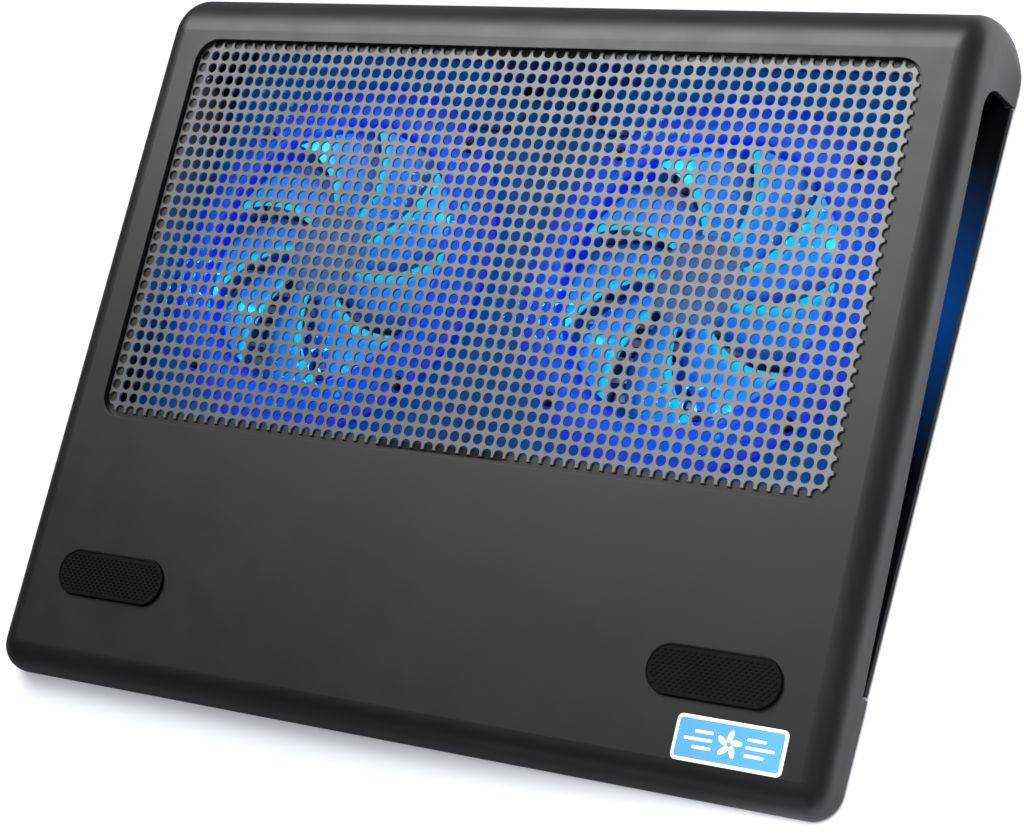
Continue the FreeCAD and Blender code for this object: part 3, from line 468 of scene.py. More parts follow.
# %% Dull ledge round the grille
EDGE_BLUR = 1 * MM
sheet_low, sheet_high = deck_box("mesh_grille")
rim_level = deck_origin.dot(deck_up) + sheet_high.z
ledge_front = (deck_place @ sheet_low).y - 1.5 * MM
ledge_rear = (deck_place @ sheet_high).y + 0.5 * MM
ledge_side = sheet_high.x + 1.5 * MM
split = shell_tree.nodes.new("ShaderNodeSeparateXYZ")
shell_tree.links.new(shell_where, split.inputs[0])
from_deck = shell_tree.nodes.new("ShaderNodeVectorMath")
from_deck.operation = "DOT_PRODUCT"
shell_tree.links.new(shell_where, from_deck.inputs[0])
from_deck.inputs[1].default_value = deck_up
sunk = spread(shell_tree, from_deck.outputs["Value"], 1.0, 0.0,
              rim_level + 1.1 * MM, rim_level + 1.5 * MM)
among = spread(shell_tree, sums(shell_tree, "ABSOLUTE", split.outputs["X"]), 1.0, 0.0,
               ledge_side, ledge_side + EDGE_BLUR)
behind = spread(shell_tree, split.outputs["Y"], 0.0, 1.0, ledge_front, ledge_front + EDGE_BLUR)
before = spread(shell_tree, split.outputs["Y"], 1.0, 0.0, ledge_rear, ledge_rear + EDGE_BLUR)
on_ledge = sums(shell_tree, "MULTIPLY", sums(shell_tree, "MULTIPLY", sunk, among),
                sums(shell_tree, "MULTIPLY", behind, before))
handled = shell_shader.inputs["Roughness"].links[0].from_socket
shell_tree.links.new(sums(shell_tree, "MAXIMUM", handled, on_ledge),
                     shell_shader.inputs["Roughness"])
print("the ledge runs back from", round(ledge_front / MM, 1), "mm")

# %% [markdown]
# The sheet is steel with a thin light-grey satin coat. The coat lies unevenly in tiny waves,
# and a little dust gathers in it, so the gloss varies over a few millimetres. Its colour is
# also painted paler towards the right: painted light, for the light that falls on that end.

# %% Grille coat
grille_finish, tree, shader, where = moulded(
    "grey_satin_coat", (0.100, 0.101, 0.104), (0.125, 0.126, 0.130), (0.42, 0.52),
    grain_mm=0.25, depth=0.004)
shader.inputs["Metallic"].default_value = 0.6
split = tree.nodes.new("ShaderNodeSeparateXYZ")
tree.links.new(where, split.inputs[0])
# Painted light: the coat's colour grows paler towards the right, where the sheet is lit.
painted_light_factor = spread(tree, split.outputs["X"], 1.0, 0.25, -100 * MM, 160 * MM)
coat = shader.inputs["Base Color"].links[0].from_socket
tree.links.new(mixed(tree, painted_light_factor, (0.180, 0.182, 0.186), coat), shader.inputs["Base Color"])
finishes["grille_metal"] = grille_finish
print("grille coat ready")

# %% [markdown]
# Rubber is nearly black and dull, with a faint bloom where it has been touched. The small
# hidden parts are steel, ferrite, bronze, nickel and nylon. The fans' screws are plated black,
# so that they don't glint through the grille.

# %% Rubber, metals and small mouldings
finishes["grip_rubber"], _, rubber_shader, _ = moulded(
    "grip_rubber_black", (0.0015, 0.0015, 0.0017), (0.003, 0.003, 0.0033), (0.62, 0.75),
    grain_mm=0.2, depth=0.01)
rubber_shader.inputs["Specular IOR Level"].default_value = 0.16

SMALL_FINISHES = {
    "foot_rubber": ("foot_rubber_black", (0.012, 0.012, 0.012), (0.022, 0.022, 0.021),
        (0.65, 0.82), 0.3, 0.02, 0.0),
    "lead_jacket": ("blue_lead_jacket", (0.001, 0.008, 0.06), (0.002, 0.012, 0.08),
        (0.35, 0.48), 0.4, 0.008, 0.0),
    "screw_steel": ("zinc_plate", (0.42, 0.42, 0.44), (0.55, 0.55, 0.56),
        (0.26, 0.42), 0.3, 0.004, 1.0),
    "shaft_steel": ("ground_steel", (0.52, 0.52, 0.53), (0.62, 0.62, 0.63),
        (0.16, 0.26), 0.15, 0.002, 1.0),
    "core_steel": ("core_lamination_steel", (0.22, 0.22, 0.24), (0.32, 0.32, 0.34),
        (0.38, 0.55), 0.35, 0.01, 1.0),
    "magnet_ferrite": ("sintered_ferrite", (0.035, 0.033, 0.031), (0.06, 0.056, 0.052),
        (0.5, 0.66), 0.25, 0.03, 0.0),
    "bush_bronze": ("oiled_bronze", (0.42, 0.25, 0.1), (0.58, 0.38, 0.17),
        (0.3, 0.5), 0.2, 0.01, 1.0),
    "port_metal": ("nickel_plate", (0.6, 0.59, 0.57), (0.72, 0.71, 0.68),
        (0.16, 0.3), 0.4, 0.002, 1.0),
    "port_insert": ("blue_nylon_insert", (0.012, 0.06, 0.28), (0.02, 0.085, 0.36),
        (0.4, 0.52), 0.3, 0.01, 0.0),
    "switch_plastic": ("black_nylon", (0.014, 0.014, 0.015), (0.022, 0.022, 0.023),
        (0.42, 0.55), 0.3, 0.01, 0.0),
    "knob_plastic": ("knob_black_acetal", (0.02, 0.02, 0.022), (0.032, 0.032, 0.034),
        (0.3, 0.42), 0.3, 0.006, 0.0),
    "plug_plastic": ("blue_black_nylon", (0.002, 0.006, 0.03), (0.003, 0.009, 0.04),
        (0.38, 0.5), 0.4, 0.01, 0.0),
}
for slot, (name, dark, light, rough, grain, depth, metal) in SMALL_FINISHES.items():
    finishes[slot] = moulded(name, dark, light, rough, grain, depth, metal=metal)[0]
black_zinc, _, _, _ = moulded("black_zinc", (0.010, 0.011, 0.014), (0.02, 0.021, 0.025),
                              (0.35, 0.5), grain_mm=0.3, depth=0.004, metal=0.8)
print("finishes so far:", len(finishes))

# %% [markdown]
# The windings are enamelled copper wire wound side by side, so a fine wave across them draws
# the strands. The boards are dark blue lacquer over a woven glass sheet, whose weave just
# shows. They lie in the fans' light, which is painted on them as a faint blue glow.

# %% Wire and boards
coil_finish, tree, shader, where = moulded(
    "enamelled_copper", (0.50, 0.17, 0.05), (0.66, 0.26, 0.09), (0.22, 0.36), metal=1.0)
strands = tree.nodes.new("ShaderNodeTexWave")
strands.bands_direction = "DIAGONAL"
strands.inputs["Scale"].default_value = 900.0
strands.inputs["Distortion"].default_value = 0.6
tree.links.new(where, strands.inputs["Vector"])
bump(tree, shader, strands.outputs["Fac"], 0.12 * MM)
finishes["coil_copper"] = coil_finish

board_finish, tree, shader, where = moulded(
    "blue_board_lacquer", (0.001, 0.012, 0.07), (0.002, 0.018, 0.10), (0.25, 0.36))
# Painted light: the fans' light on the boards, as a faint blue emission of the lacquer.
shader.inputs["Emission Color"].default_value = (0.0, 0.012, 0.10, 1)
shader.inputs["Emission Strength"].default_value = 0.8
weave = tree.nodes.new("ShaderNodeTexChecker")
weave.inputs["Scale"].default_value = 1400.0
tree.links.new(where, weave.inputs["Vector"])
bump(tree, shader, weave.outputs["Fac"], 0.01 * MM, strength=0.5)
finishes["board_laminate"] = board_finish
print("wire and board finishes ready")

# %% [markdown]
# Both fans are lit from lamps round their rings. Light that enters clear blue plastic leaves it
# at its edges, and here that light is painted on as an emitted glow: brightest, as a painted
# highlight, at the raised edges of the blades, muted on the hub, deep blue on the ring. One
# pattern serves both fans, because it measures the distance from whichever fan centre is nearer.

# %% The light inside the fans
rotor_low, rotor_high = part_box("impeller_right")
fan_middle = (rotor_low + rotor_high) / 2
print("the right fan turns about", [round(v / MM, 1) for v in fan_middle.xy])


def fan_radius(tree, where):
    """Distance from the nearer fan's centre, and the height, both in metres."""
    split = tree.nodes.new("ShaderNodeSeparateXYZ")
    tree.links.new(where, split.inputs[0])
    aside = sums(tree, "SUBTRACT", sums(tree, "ABSOLUTE", split.outputs["X"]), fan_middle.x)
    along = sums(tree, "SUBTRACT", split.outputs["Y"], fan_middle.y)
    square = sums(tree, "ADD", sums(tree, "POWER", aside, 2.0), sums(tree, "POWER", along, 2.0))
    return sums(tree, "SQRT", square), split.outputs["Z"]


ring_finish, tree, shader, where = moulded(
    "deep_blue_ring", (0.0005, 0.003, 0.06), (0.001, 0.005, 0.09), (0.40, 0.52),
    grain_mm=0.5, depth=0.01, soften=0.3 * MM)
shader.inputs["Specular IOR Level"].default_value = 0.15
radius, height = fan_radius(tree, where)
# Painted light: the lamps' glow on the ring, as emission in bands by distance from the fan
# centre.
glow = ramp(tree, spread(tree, radius, 0.0, 1.0, 0.0, 75 * MM),
            (0.30, (0.001, 0.010, 0.05)), (0.66, (0.002, 0.03, 0.25)),
            (0.72, (0.0, 0.010, 0.60)), (0.78, (0.002, 0.09, 0.80)),
            (0.86, (0.001, 0.05, 0.55)), (0.95, (0.0, 0.010, 0.50)))
tree.links.new(glow, shader.inputs["Emission Color"])
shader.inputs["Emission Strength"].default_value = 1.05
finishes["fan_frame_plastic"] = ring_finish

blade_finish, tree, shader, where = moulded(
    "clear_blue_blades", (0.001, 0.04, 0.20), (0.002, 0.06, 0.26), (0.30, 0.42),
    grain_mm=0.8, depth=0.01)
shader.inputs["Specular IOR Level"].default_value = 0.2
radius, height = fan_radius(tree, where)
rise = spread(tree, height, 0.0, 1.0, rotor_low.z, rotor_high.z)
# Painted light: the blades glow by height, cyan at their upper edges as a painted highlight.
edge_glow = ramp(tree, rise, (0.10, (0.0005, 0.003, 0.02)), (0.30, (0.001, 0.03, 0.25)),
                 (0.42, (0.004, 0.19, 1.0)), (0.78, (0.008, 0.26, 1.0)),
                 (0.90, (0.0, 0.75, 1.0)))
hub_glow = ramp(tree, rise, (0.2, (0.002, 0.02, 0.12)), (0.9, (0.028, 0.085, 0.20)))
on_hub = spread(tree, radius, 0.0, 1.0, 17.3 * MM, 17.9 * MM)
tree.links.new(mixed(tree, on_hub, hub_glow, edge_glow), shader.inputs["Emission Color"])
shader.inputs["Emission Strength"].default_value = 0.7
finishes["impeller_plastic"] = blade_finish

print("fan finishes ready")

# %% [markdown]
# The cover's upper side is black, painted darker than its outside as painted shade inside the
# case. The fans' light is painted on it as a blue glow, strongest just outside them. In the
# slots at the sides, only the stretch level with a fan is lit.

# %% Light on the cover
COVER_INSIDE = 5.0 * MM
COVER_BLUR = 0.2 * MM
SLOT_START = 150 * MM
SLOT_END = 160 * MM
radius, height = fan_radius(cover_tree, cover_where)
# Painted light: the fans' glow on the cover, by distance from the nearer fan.
spill = ramp(cover_tree, spread(cover_tree, radius, 0.0, 1.0, 0.0, 200 * MM),
             (0.20, (0.0, 0.005, 0.03)), (0.34, (0.0, 0.045, 0.30)),
             (0.45, (0.0, 0.036, 0.17)), (0.60, (0.0005, 0.010, 0.032)),
             (0.90, (0.0005, 0.003, 0.008)))
inside = spread(cover_tree, height, 0.0, 1.0, COVER_INSIDE, COVER_INSIDE + COVER_BLUR)
outside = spread(cover_tree, height, 1.0, 0.0, COVER_INSIDE, COVER_INSIDE + COVER_BLUR)
split = cover_tree.nodes.new("ShaderNodeSeparateXYZ")
cover_tree.links.new(cover_where, split.inputs[0])
in_case = spread(cover_tree, sums(cover_tree, "ABSOLUTE", split.outputs["X"]), 1.0, 0.0,
                 SLOT_START, SLOT_END)
from_fan = sums(cover_tree, "SUBTRACT", split.outputs["Y"], fan_middle.y)
near = spread(cover_tree, sums(cover_tree, "ABSOLUTE", from_fan), 0.9, 0.0, 5 * MM, 55 * MM)
lit = sums(cover_tree, "MULTIPLY", inside, sums(cover_tree, "MAXIMUM", in_case, near))
cover_tree.links.new(mixed(cover_tree, lit, (0, 0, 0), spill),
                     cover_shader.inputs["Emission Color"])
cover_shader.inputs["Emission Strength"].default_value = 1.2
# Painted shade: the cover's upper side, inside the case, gets a darker base than its outside.
plain = cover_shader.inputs["Base Color"].links[0].from_socket
cover_tree.links.new(mixed(cover_tree, outside, (0.0015, 0.0016, 0.002), plain),
                     cover_shader.inputs["Base Color"])

lamp_finish, _, shader, _ = moulded(
    "lit_blue_lamp", (0.05, 0.25, 0.8), (0.08, 0.3, 0.9), (0.08, 0.14), depth=0.002)
shader.inputs["Emission Color"].default_value = (0.004, 0.14, 1.0, 1)
shader.inputs["Emission Strength"].default_value = 1.6
finishes["led_lens"] = lamp_finish
print("glowing finishes ready")

# %% [markdown]
# The glow of a material lights its neighbours only a little, so each lamp also gets a small
# real light. It stands a little nearer the fan's middle, just above the blades.

# %% Lamp light
LIGHT_HEIGHT = 17.2 * MM
LIGHT_WATTS = 0.045
LIGHT_RADIUS = 1.5 * MM
LIGHT_BLUE = (0.0, 0.30, 1.0)
LIGHT_INWARD = 0.14


def blue_light(name, place):
    """A small blue light."""
    data = bpy.data.lights.new(name, "POINT")
    data.energy = LIGHT_WATTS
    data.shadow_soft_size = LIGHT_RADIUS
    data.color = LIGHT_BLUE
    lamp = bpy.data.objects.new(name, data)
    lamp.location = place
    lamp.visible_camera = False
    bpy.context.collection.objects.link(lamp)


for side in ("left", "right"):
    low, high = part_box(f"impeller_{side}")
    middle = (low + high) / 2
    for i, (low, high) in enumerate(islands(f"fan_leds_{side}")):
        lamp_at = (low + high) / 2
        inward = (middle - lamp_at) * LIGHT_INWARD
        blue_light(f"lamp_{side}_{i}",
                   Vector((lamp_at.x + inward.x, lamp_at.y + inward.y, LIGHT_HEIGHT)))
print("blue lights placed")

# %% [markdown]
# ## Finishes on the fixed pieces
# Most pieces keep their shape and only change their surface.

# %% Dress the fixed pieces
for row in frame["record"]["subparts"]:
    piece = nodes[row["node"]]
    for place in piece.material_slots:
        place.material = finishes.get(row["material_slot"], finishes["shell_plastic"])
print("dressed", len(nodes), "pieces")

# %% [markdown]
# ## Grille
# The grille is sheet steel, punched on a 5 mm square grid, and the sheet is then cut to
# size straight through the outer holes, which leaves a toothed edge. It is made the same way
# here: one square tile with a round hole, repeated by two arrays, cut to size with straight
# cuts, and last given its thickness. A punch rolls the upper edge of each hole over a little,
# so the upper edges get a small chamfer. That leaves a few dozen faces to a hole.

# %% Punch the grille
PITCH = 5.0 * MM
HOLE = 1.95 * MM
HOLE_SIDES = 14
FIRST_HOLE = Vector((2.5 * MM, 0.95 * MM))
HOLE_LIP = 0.12 * MM
SHEET_CORNER = 8.5 * MM
sheet_size = sheet_high - sheet_low


def add_array(piece, count, step):
    """Repeat a piece along one direction, joined where the copies touch."""
    repeat = piece.modifiers.new("repeat", "ARRAY")
    repeat.count = count
    repeat.use_relative_offset = False
    repeat.use_constant_offset = True
    repeat.constant_offset_displace = step
    repeat.use_merge_vertices = True
    repeat.merge_threshold = 0.01 * MM
    bpy.ops.object.modifier_apply(modifier=repeat.name)


def slice_off(point, outward):
    """Cut the selected mesh by a plane and throw away what lies beyond it."""
    bpy.ops.mesh.select_all(action="SELECT")
    bpy.ops.mesh.bisect(plane_co=point, plane_no=outward, clear_outer=True,
                        threshold=0.001 * MM)


start_fresh()
bpy.ops.mesh.primitive_circle_add(vertices=HOLE_SIDES, radius=HOLE,
                                  location=(FIRST_HOLE.x, FIRST_HOLE.y, 0))
grille = bpy.context.object
grille.name = "grille_sheet"
bpy.ops.object.transform_apply(location=True)
bpy.ops.object.mode_set(mode="EDIT")
bpy.ops.mesh.primitive_plane_add(size=PITCH, location=(FIRST_HOLE.x, FIRST_HOLE.y, 0))
bpy.ops.mesh.delete(type="ONLY_FACE")
bpy.ops.mesh.select_all(action="SELECT")
bpy.ops.mesh.bridge_edge_loops()
bpy.ops.object.mode_set(mode="OBJECT")
add_array(grille, math.ceil(sheet_size.x / PITCH) + 1, (PITCH, 0, 0))
add_array(grille, math.ceil(sheet_size.y / PITCH) + 1, (0, PITCH, 0))

bpy.ops.object.mode_set(mode="EDIT")
corner = Vector((SHEET_CORNER, SHEET_CORNER, 0))
for x_side in (0, 1):
    for y_side in (0, 1):
        middle = Vector((x_side * sheet_size.x + (1 - 2 * x_side) * corner.x,
                         y_side * sheet_size.y + (1 - 2 * y_side) * corner.y, 0))
        for degrees in (0, 15, 30, 45, 60, 75, 90):
            way = Vector((math.cos(math.radians(degrees)) * (2 * x_side - 1),
                          math.sin(math.radians(degrees)) * (2 * y_side - 1), 0))
            slice_off(middle + way * SHEET_CORNER, way)
bpy.ops.object.mode_set(mode="OBJECT")
nearest = min(grille.data.vertices, key=lambda v: (v.co.xy - sheet_size.xy / 2).length).index
bpy.ops.object.mode_set(mode="EDIT")
bpy.ops.mesh.select_all(action="DESELECT")
bpy.ops.object.mode_set(mode="OBJECT")
grille.data.vertices[nearest].select = True
bpy.ops.object.mode_set(mode="EDIT")
bpy.ops.mesh.select_mode(type="VERT")
bpy.ops.mesh.select_linked()
bpy.ops.mesh.select_all(action="INVERT")
bpy.ops.mesh.delete(type="VERT")
bpy.ops.mesh.select_all(action="SELECT")
bpy.ops.mesh.normals_make_consistent(inside=False)
bpy.ops.object.mode_set(mode="OBJECT")
if grille.data.polygons[0].normal.z < 0:
    grille.data.flip_normals()

skin = grille.modifiers.new("thickness", "SOLIDIFY")
skin.thickness = sheet_size.z
skin.offset = -1
bpy.ops.object.modifier_apply(modifier=skin.name)

bpy.ops.object.mode_set(mode="EDIT")
bpy.ops.mesh.select_mode(type="EDGE")
bpy.ops.mesh.select_all(action="DESELECT")
bpy.ops.mesh.edges_select_sharp(sharpness=math.radians(60))
bpy.ops.object.mode_set(mode="OBJECT")
heights = [v.co.z for v in grille.data.vertices]
for edge in grille.data.edges:
    edge.select = edge.select and min(heights[i] for i in edge.vertices) > -0.05 * MM
bpy.ops.object.mode_set(mode="EDIT")
bpy.ops.mesh.bevel(offset=HOLE_LIP, segments=1, affect="EDGES")
to_deck = deck_place @ Matrix.Translation((sheet_low.x, sheet_low.y, sheet_high.z))
settle(grille, to_deck)
put_on(grille, "case", "grille_metal", finishes["grille_metal"], "mesh_grille")

# %% [markdown]
# ## Grip pads
# Each pad is a moulded rubber stadium with a smooth rolled rim round a field of small raised
# diamonds, which bite into the laptop's underside. The stadium is a cylinder pulled apart
# into two halves. A diamond is a four-sided cone with its tip cut off: two arrays and one
# shifted copy lay out the field, and the diamonds that would cross the rim are deleted.

# %% Grip pads
DIAMOND_STEP = 2.3 * MM
DIAMOND_REACH = 1.02 * MM
DIAMOND_TIP = 0.4 * MM
DIAMOND_ROOT = 0.05 * MM
FIELD_MARGIN = 0.5 * MM
FIELD_DEPTH = 0.28 * MM
FIELD_SLOPE = 0.12 * MM
RIM_ROLL = 0.3 * MM


def stadium(name, low, high, sides=48):
    """An upright stadium-shaped slab between two corners, left in edit mode."""
    start_fresh()
    radius = (high.y - low.y) / 2
    middle = (low + high) / 2
    bpy.ops.mesh.primitive_cylinder_add(vertices=sides, radius=radius, depth=high.z - low.z,
                                        location=middle)
    piece = bpy.context.object
    piece.name = name
    bpy.ops.object.transform_apply(location=True)
    stretch = (high.x - low.x) / 2 - radius
    bpy.ops.object.mode_set(mode="EDIT")
    for side in (-1, 1):
        pick(piece, verts=lambda co, side=side: side * (co.x - middle.x) > 0.01 * MM)
        bpy.ops.transform.translate(value=(side * stretch, 0, 0))
    return piece


def make_grip_pad(name, node):
    """A knurled pad in the place of a node."""
    low, high = deck_box(node)
    pad = stadium(name, low, high)
    pick(pad, edges=lambda a, b: min(a.z, b.z) > high.z - 0.01 * MM)
    bpy.ops.mesh.bevel(offset=RIM_ROLL, segments=4, affect="EDGES")
    pick(pad, faces=lambda face: face.normal.z > 0.99 and face.area > 100 * MM * MM)
    bpy.ops.mesh.inset(thickness=FIELD_MARGIN - RIM_ROLL)
    bpy.ops.mesh.inset(thickness=FIELD_SLOPE)
    bpy.ops.transform.translate(value=(0, 0, -FIELD_DEPTH))
    bpy.ops.object.mode_set(mode="OBJECT")

    bpy.ops.object.select_all(action="DESELECT")
    tall = FIELD_DEPTH + DIAMOND_ROOT
    bpy.ops.mesh.primitive_cone_add(vertices=4, radius1=DIAMOND_REACH, radius2=DIAMOND_TIP,
                                    depth=tall, location=(low.x, low.y, high.z - tall / 2))
    field = bpy.context.object
    bpy.ops.object.transform_apply(location=True)
    across = math.ceil((high.x - low.x) / DIAMOND_STEP) + 1
    along = math.ceil((high.y - low.y) / DIAMOND_STEP) + 1
    add_array(field, across, (DIAMOND_STEP, 0, 0))
    add_array(field, along, (0, DIAMOND_STEP, 0))
    second = own_copy(field, name + "_second_field")
    half = Vector((DIAMOND_STEP / 2, DIAMOND_STEP / 2, 0))
    second.location = half
    second.select_set(True)
    field.select_set(True)
    bpy.context.view_layer.objects.active = field
    bpy.ops.object.join()

    middle = (low + high) / 2
    radius = (high.y - low.y) / 2
    stretch = (high.x - low.x) / 2 - radius

    def off_the_field(co):
        """Whether a point belongs to a diamond too near the rim."""
        nearest = None
        for shift in (Vector((0, 0)), half.xy):
            grid = co.xy - low.xy - shift
            cell = Vector((round(grid.x / DIAMOND_STEP), round(grid.y / DIAMOND_STEP)))
            centre = low.xy + shift + cell * DIAMOND_STEP
            if nearest is None or (centre - co.xy).length < (nearest - co.xy).length:
                nearest = centre
        beyond = max(abs(nearest.x - middle.x) - stretch, 0.0)
        reach = math.hypot(beyond, nearest.y - middle.y)
        return reach > radius - FIELD_MARGIN - DIAMOND_REACH * 0.8

    bpy.ops.object.mode_set(mode="EDIT")
    pick(field, verts=off_the_field)
    bpy.ops.mesh.delete(type="VERT")
    bpy.ops.object.mode_set(mode="OBJECT")
    pad.select_set(True)
    bpy.context.view_layer.objects.active = pad
    bpy.ops.object.join()
    settle(pad, deck_place, angle=30)
    return put_on(pad, "case", "grip_rubber", finishes["grip_rubber"], node)


for side in ("left", "right"):
    make_grip_pad(f"grip_pad_{side}_knurled", f"grip_pad_{side}")

# %% [markdown]
# ## Front badge
# A small domed sticker: a white film, a sky-blue printed panel that leaves a white border, and
# a white sign for moving air. It carries no name. The film is a slab with rounded upright
# edges. The sign is a small fan rosette between lines of wind.

# %% Badge
BORDER = 1.15 * MM
PRINT_RISE = 0.04 * MM
FILM_CORNER = 2.0 * MM
FILM_LIP = 0.15 * MM
PANEL_CORNER = 1.1 * MM
PANEL_ROOT = 0.1 * MM


def rounded_slab(name, low, high, corner, lip):
    """A slab between two corners, its upright edges rounded and its upper edge eased."""
    start_fresh()
    bpy.ops.mesh.primitive_cube_add(size=1, location=(low + high) / 2)
    piece = bpy.context.object
    piece.name = name
    piece.scale = high - low
    bpy.ops.object.transform_apply(location=True, scale=True)
    bpy.ops.object.mode_set(mode="EDIT")
    pick(piece, edges=lambda a, b: abs(a.z - b.z) > (high.z - low.z) / 2)
    bpy.ops.mesh.bevel(offset=corner, segments=6, affect="EDGES")
    if lip:
        pick(piece, edges=lambda a, b: min(a.z, b.z) > high.z - 0.001 * MM)
        bpy.ops.mesh.bevel(offset=lip, segments=3, affect="EDGES")
    bpy.ops.object.mode_set(mode="OBJECT")
    return piece


def gloss_film(name, dark, light):
    """A printed film under a clear coat."""
    film, _, shader, _ = moulded(name, dark, light, (0.2, 0.3), grain_mm=2.0, depth=0.004)
    shader.inputs["Coat Weight"].default_value = 0.5
    shader.inputs["Coat Roughness"].default_value = 0.08
    return film


badge_low, badge_high = deck_box("front_badge")
film_top = badge_high.z - 2 * PRINT_RISE
film = rounded_slab("badge_film", badge_low, Vector((*badge_high.xy, film_top)), FILM_CORNER,
                    FILM_LIP)
settle(film, deck_place)
put_on(film, "case", "badge_film", gloss_film("badge_white", (0.80, 0.82, 0.84),
                                              (0.86, 0.87, 0.89)), "front_badge")

panel_low = badge_low + Vector((BORDER, BORDER, PANEL_ROOT))
panel_high = Vector((badge_high.x - BORDER, badge_high.y - BORDER, film_top + PRINT_RISE))
panel = rounded_slab("badge_panel", panel_low, panel_high, PANEL_CORNER, 0)
settle(panel, deck_place)
put_on(panel, "case", "badge_film", gloss_film("badge_sky_blue", (0.060, 0.245, 0.52),
                                               (0.070, 0.265, 0.56)))

print("the badge is", round((badge_high.x - badge_low.x) / MM, 1), "mm wide")

# %% The badge's sign
PETALS = 5
PETAL_HALVES = (2.1 * MM, 0.95 * MM, 1)
PETAL_SHIFT = (2.6 * MM, 0.75 * MM, 0)
LINE_HALF = 0.5 * MM
LINE_STEP = 2.6 * MM
LINE_START = 6.2 * MM
LINE_LENGTHS = (7.0 * MM, 10.5 * MM, 7.0 * MM)
sign_middle = (badge_low + badge_high) / 2
sign_low = film_top
sign_high = badge_high.z
sign_parts = []
for i in range(PETALS):
    start_fresh()
    bpy.ops.mesh.primitive_cylinder_add(vertices=24, radius=1, depth=sign_high - sign_low)
    petal = bpy.context.object
    petal.scale = PETAL_HALVES
    bpy.ops.object.transform_apply(scale=True)
    bpy.ops.object.mode_set(mode="EDIT")
    bpy.ops.mesh.select_all(action="SELECT")
    bpy.ops.transform.translate(value=PETAL_SHIFT)
    bpy.ops.object.mode_set(mode="OBJECT")
    petal.rotation_euler.z = math.radians(360 / PETALS * i)
    petal.location = (sign_middle.x, sign_middle.y, (sign_low + sign_high) / 2)
    sign_parts.append(petal)
for side in (-1, 1):
    for row, length in zip((-1, 0, 1), LINE_LENGTHS):
        y = sign_middle.y + row * LINE_STEP
        near_end = sign_middle.x + side * LINE_START
        far_end = near_end + side * length
        low = Vector((min(near_end, far_end), y - LINE_HALF, sign_low))
        high = Vector((max(near_end, far_end), y + LINE_HALF, sign_high))
        sign_parts.append(stadium(f"wind_line_{side}_{row}", low, high, sides=16))
        bpy.ops.object.mode_set(mode="OBJECT")
start_fresh()
for part in sign_parts:
    part.select_set(True)
bpy.context.view_layer.objects.active = sign_parts[0]
bpy.ops.object.join()
sign = sign_parts[0]
sign.name = "badge_sign"
settle(sign, deck_place)
put_on(sign, "case", "badge_film", gloss_film("badge_sign_white", (0.84, 0.86, 0.88),
                                              (0.9, 0.91, 0.92)))

# %% [markdown]
# ## Feet
# Each foot is a rubber disc glued into a seat in the cover. Its lower edge is rolled, and a
# ring groove in its sole gives it bite on a desk. It is a cylinder whose rim is beveled and
# whose sole is inset and pushed in.

# %% Feet
FOOT_ROLL = 0.7 * MM
SOLE_RIM = 2.0 * MM
GROOVE_WIDTH = 1.0 * MM
GROOVE_SLOPE = 0.3 * MM
GROOVE_DEPTH = 0.6 * MM


def make_foot(name, node):
    """A moulded foot in the place of a node."""
    low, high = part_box(node)
    middle = (low + high) / 2
    start_fresh()
    bpy.ops.mesh.primitive_cylinder_add(vertices=64, radius=(high.x - low.x) / 2,
                                        depth=high.z - low.z, location=middle)
    foot = bpy.context.object
    foot.name = name
    bpy.ops.object.transform_apply(location=True)
    bpy.ops.object.mode_set(mode="EDIT")
    pick(foot, edges=lambda a, b: max(a.z, b.z) < low.z + 0.01 * MM)
    bpy.ops.mesh.bevel(offset=FOOT_ROLL, segments=4, affect="EDGES")
    pick(foot, faces=lambda face: face.normal.z < -0.99)
    for thickness, push in ((SOLE_RIM, GROOVE_DEPTH), (GROOVE_WIDTH, -GROOVE_DEPTH)):
        bpy.ops.mesh.inset(thickness=thickness)
        bpy.ops.mesh.inset(thickness=GROOVE_SLOPE)
        bpy.ops.transform.translate(value=(0, 0, push))
    settle(foot)
    return put_on(foot, "case", "foot_rubber", finishes["foot_rubber"], node)


for node in ("foot_front_left", "foot_front_right", "foot_rear_left", "foot_rear_right"):
    make_foot(node + "_moulded", node)

# %% [markdown]
# ## Screws
# All the screws are pan-head with a cross recess. One is modelled for each size: a cylinder
# for the head with its rim rounded, a cross cut into it with a boolean, and a shank whose tip
# is tapered. It is then copied to every place where the case, the boards and the fans have
# one. The case's screws point up into the posts, so they are turned over.

# %% Screws
TIP_LENGTH = 0.8 * MM
TIP_TAPER = 0.55
HEAD_ROLL = 0.4
CROSS_REACH = 1.15
CROSS_WIDTH = 0.26
CROSS_DEPTH = 1.1
FIRST_TURN = 23
NEXT_TURN = 37


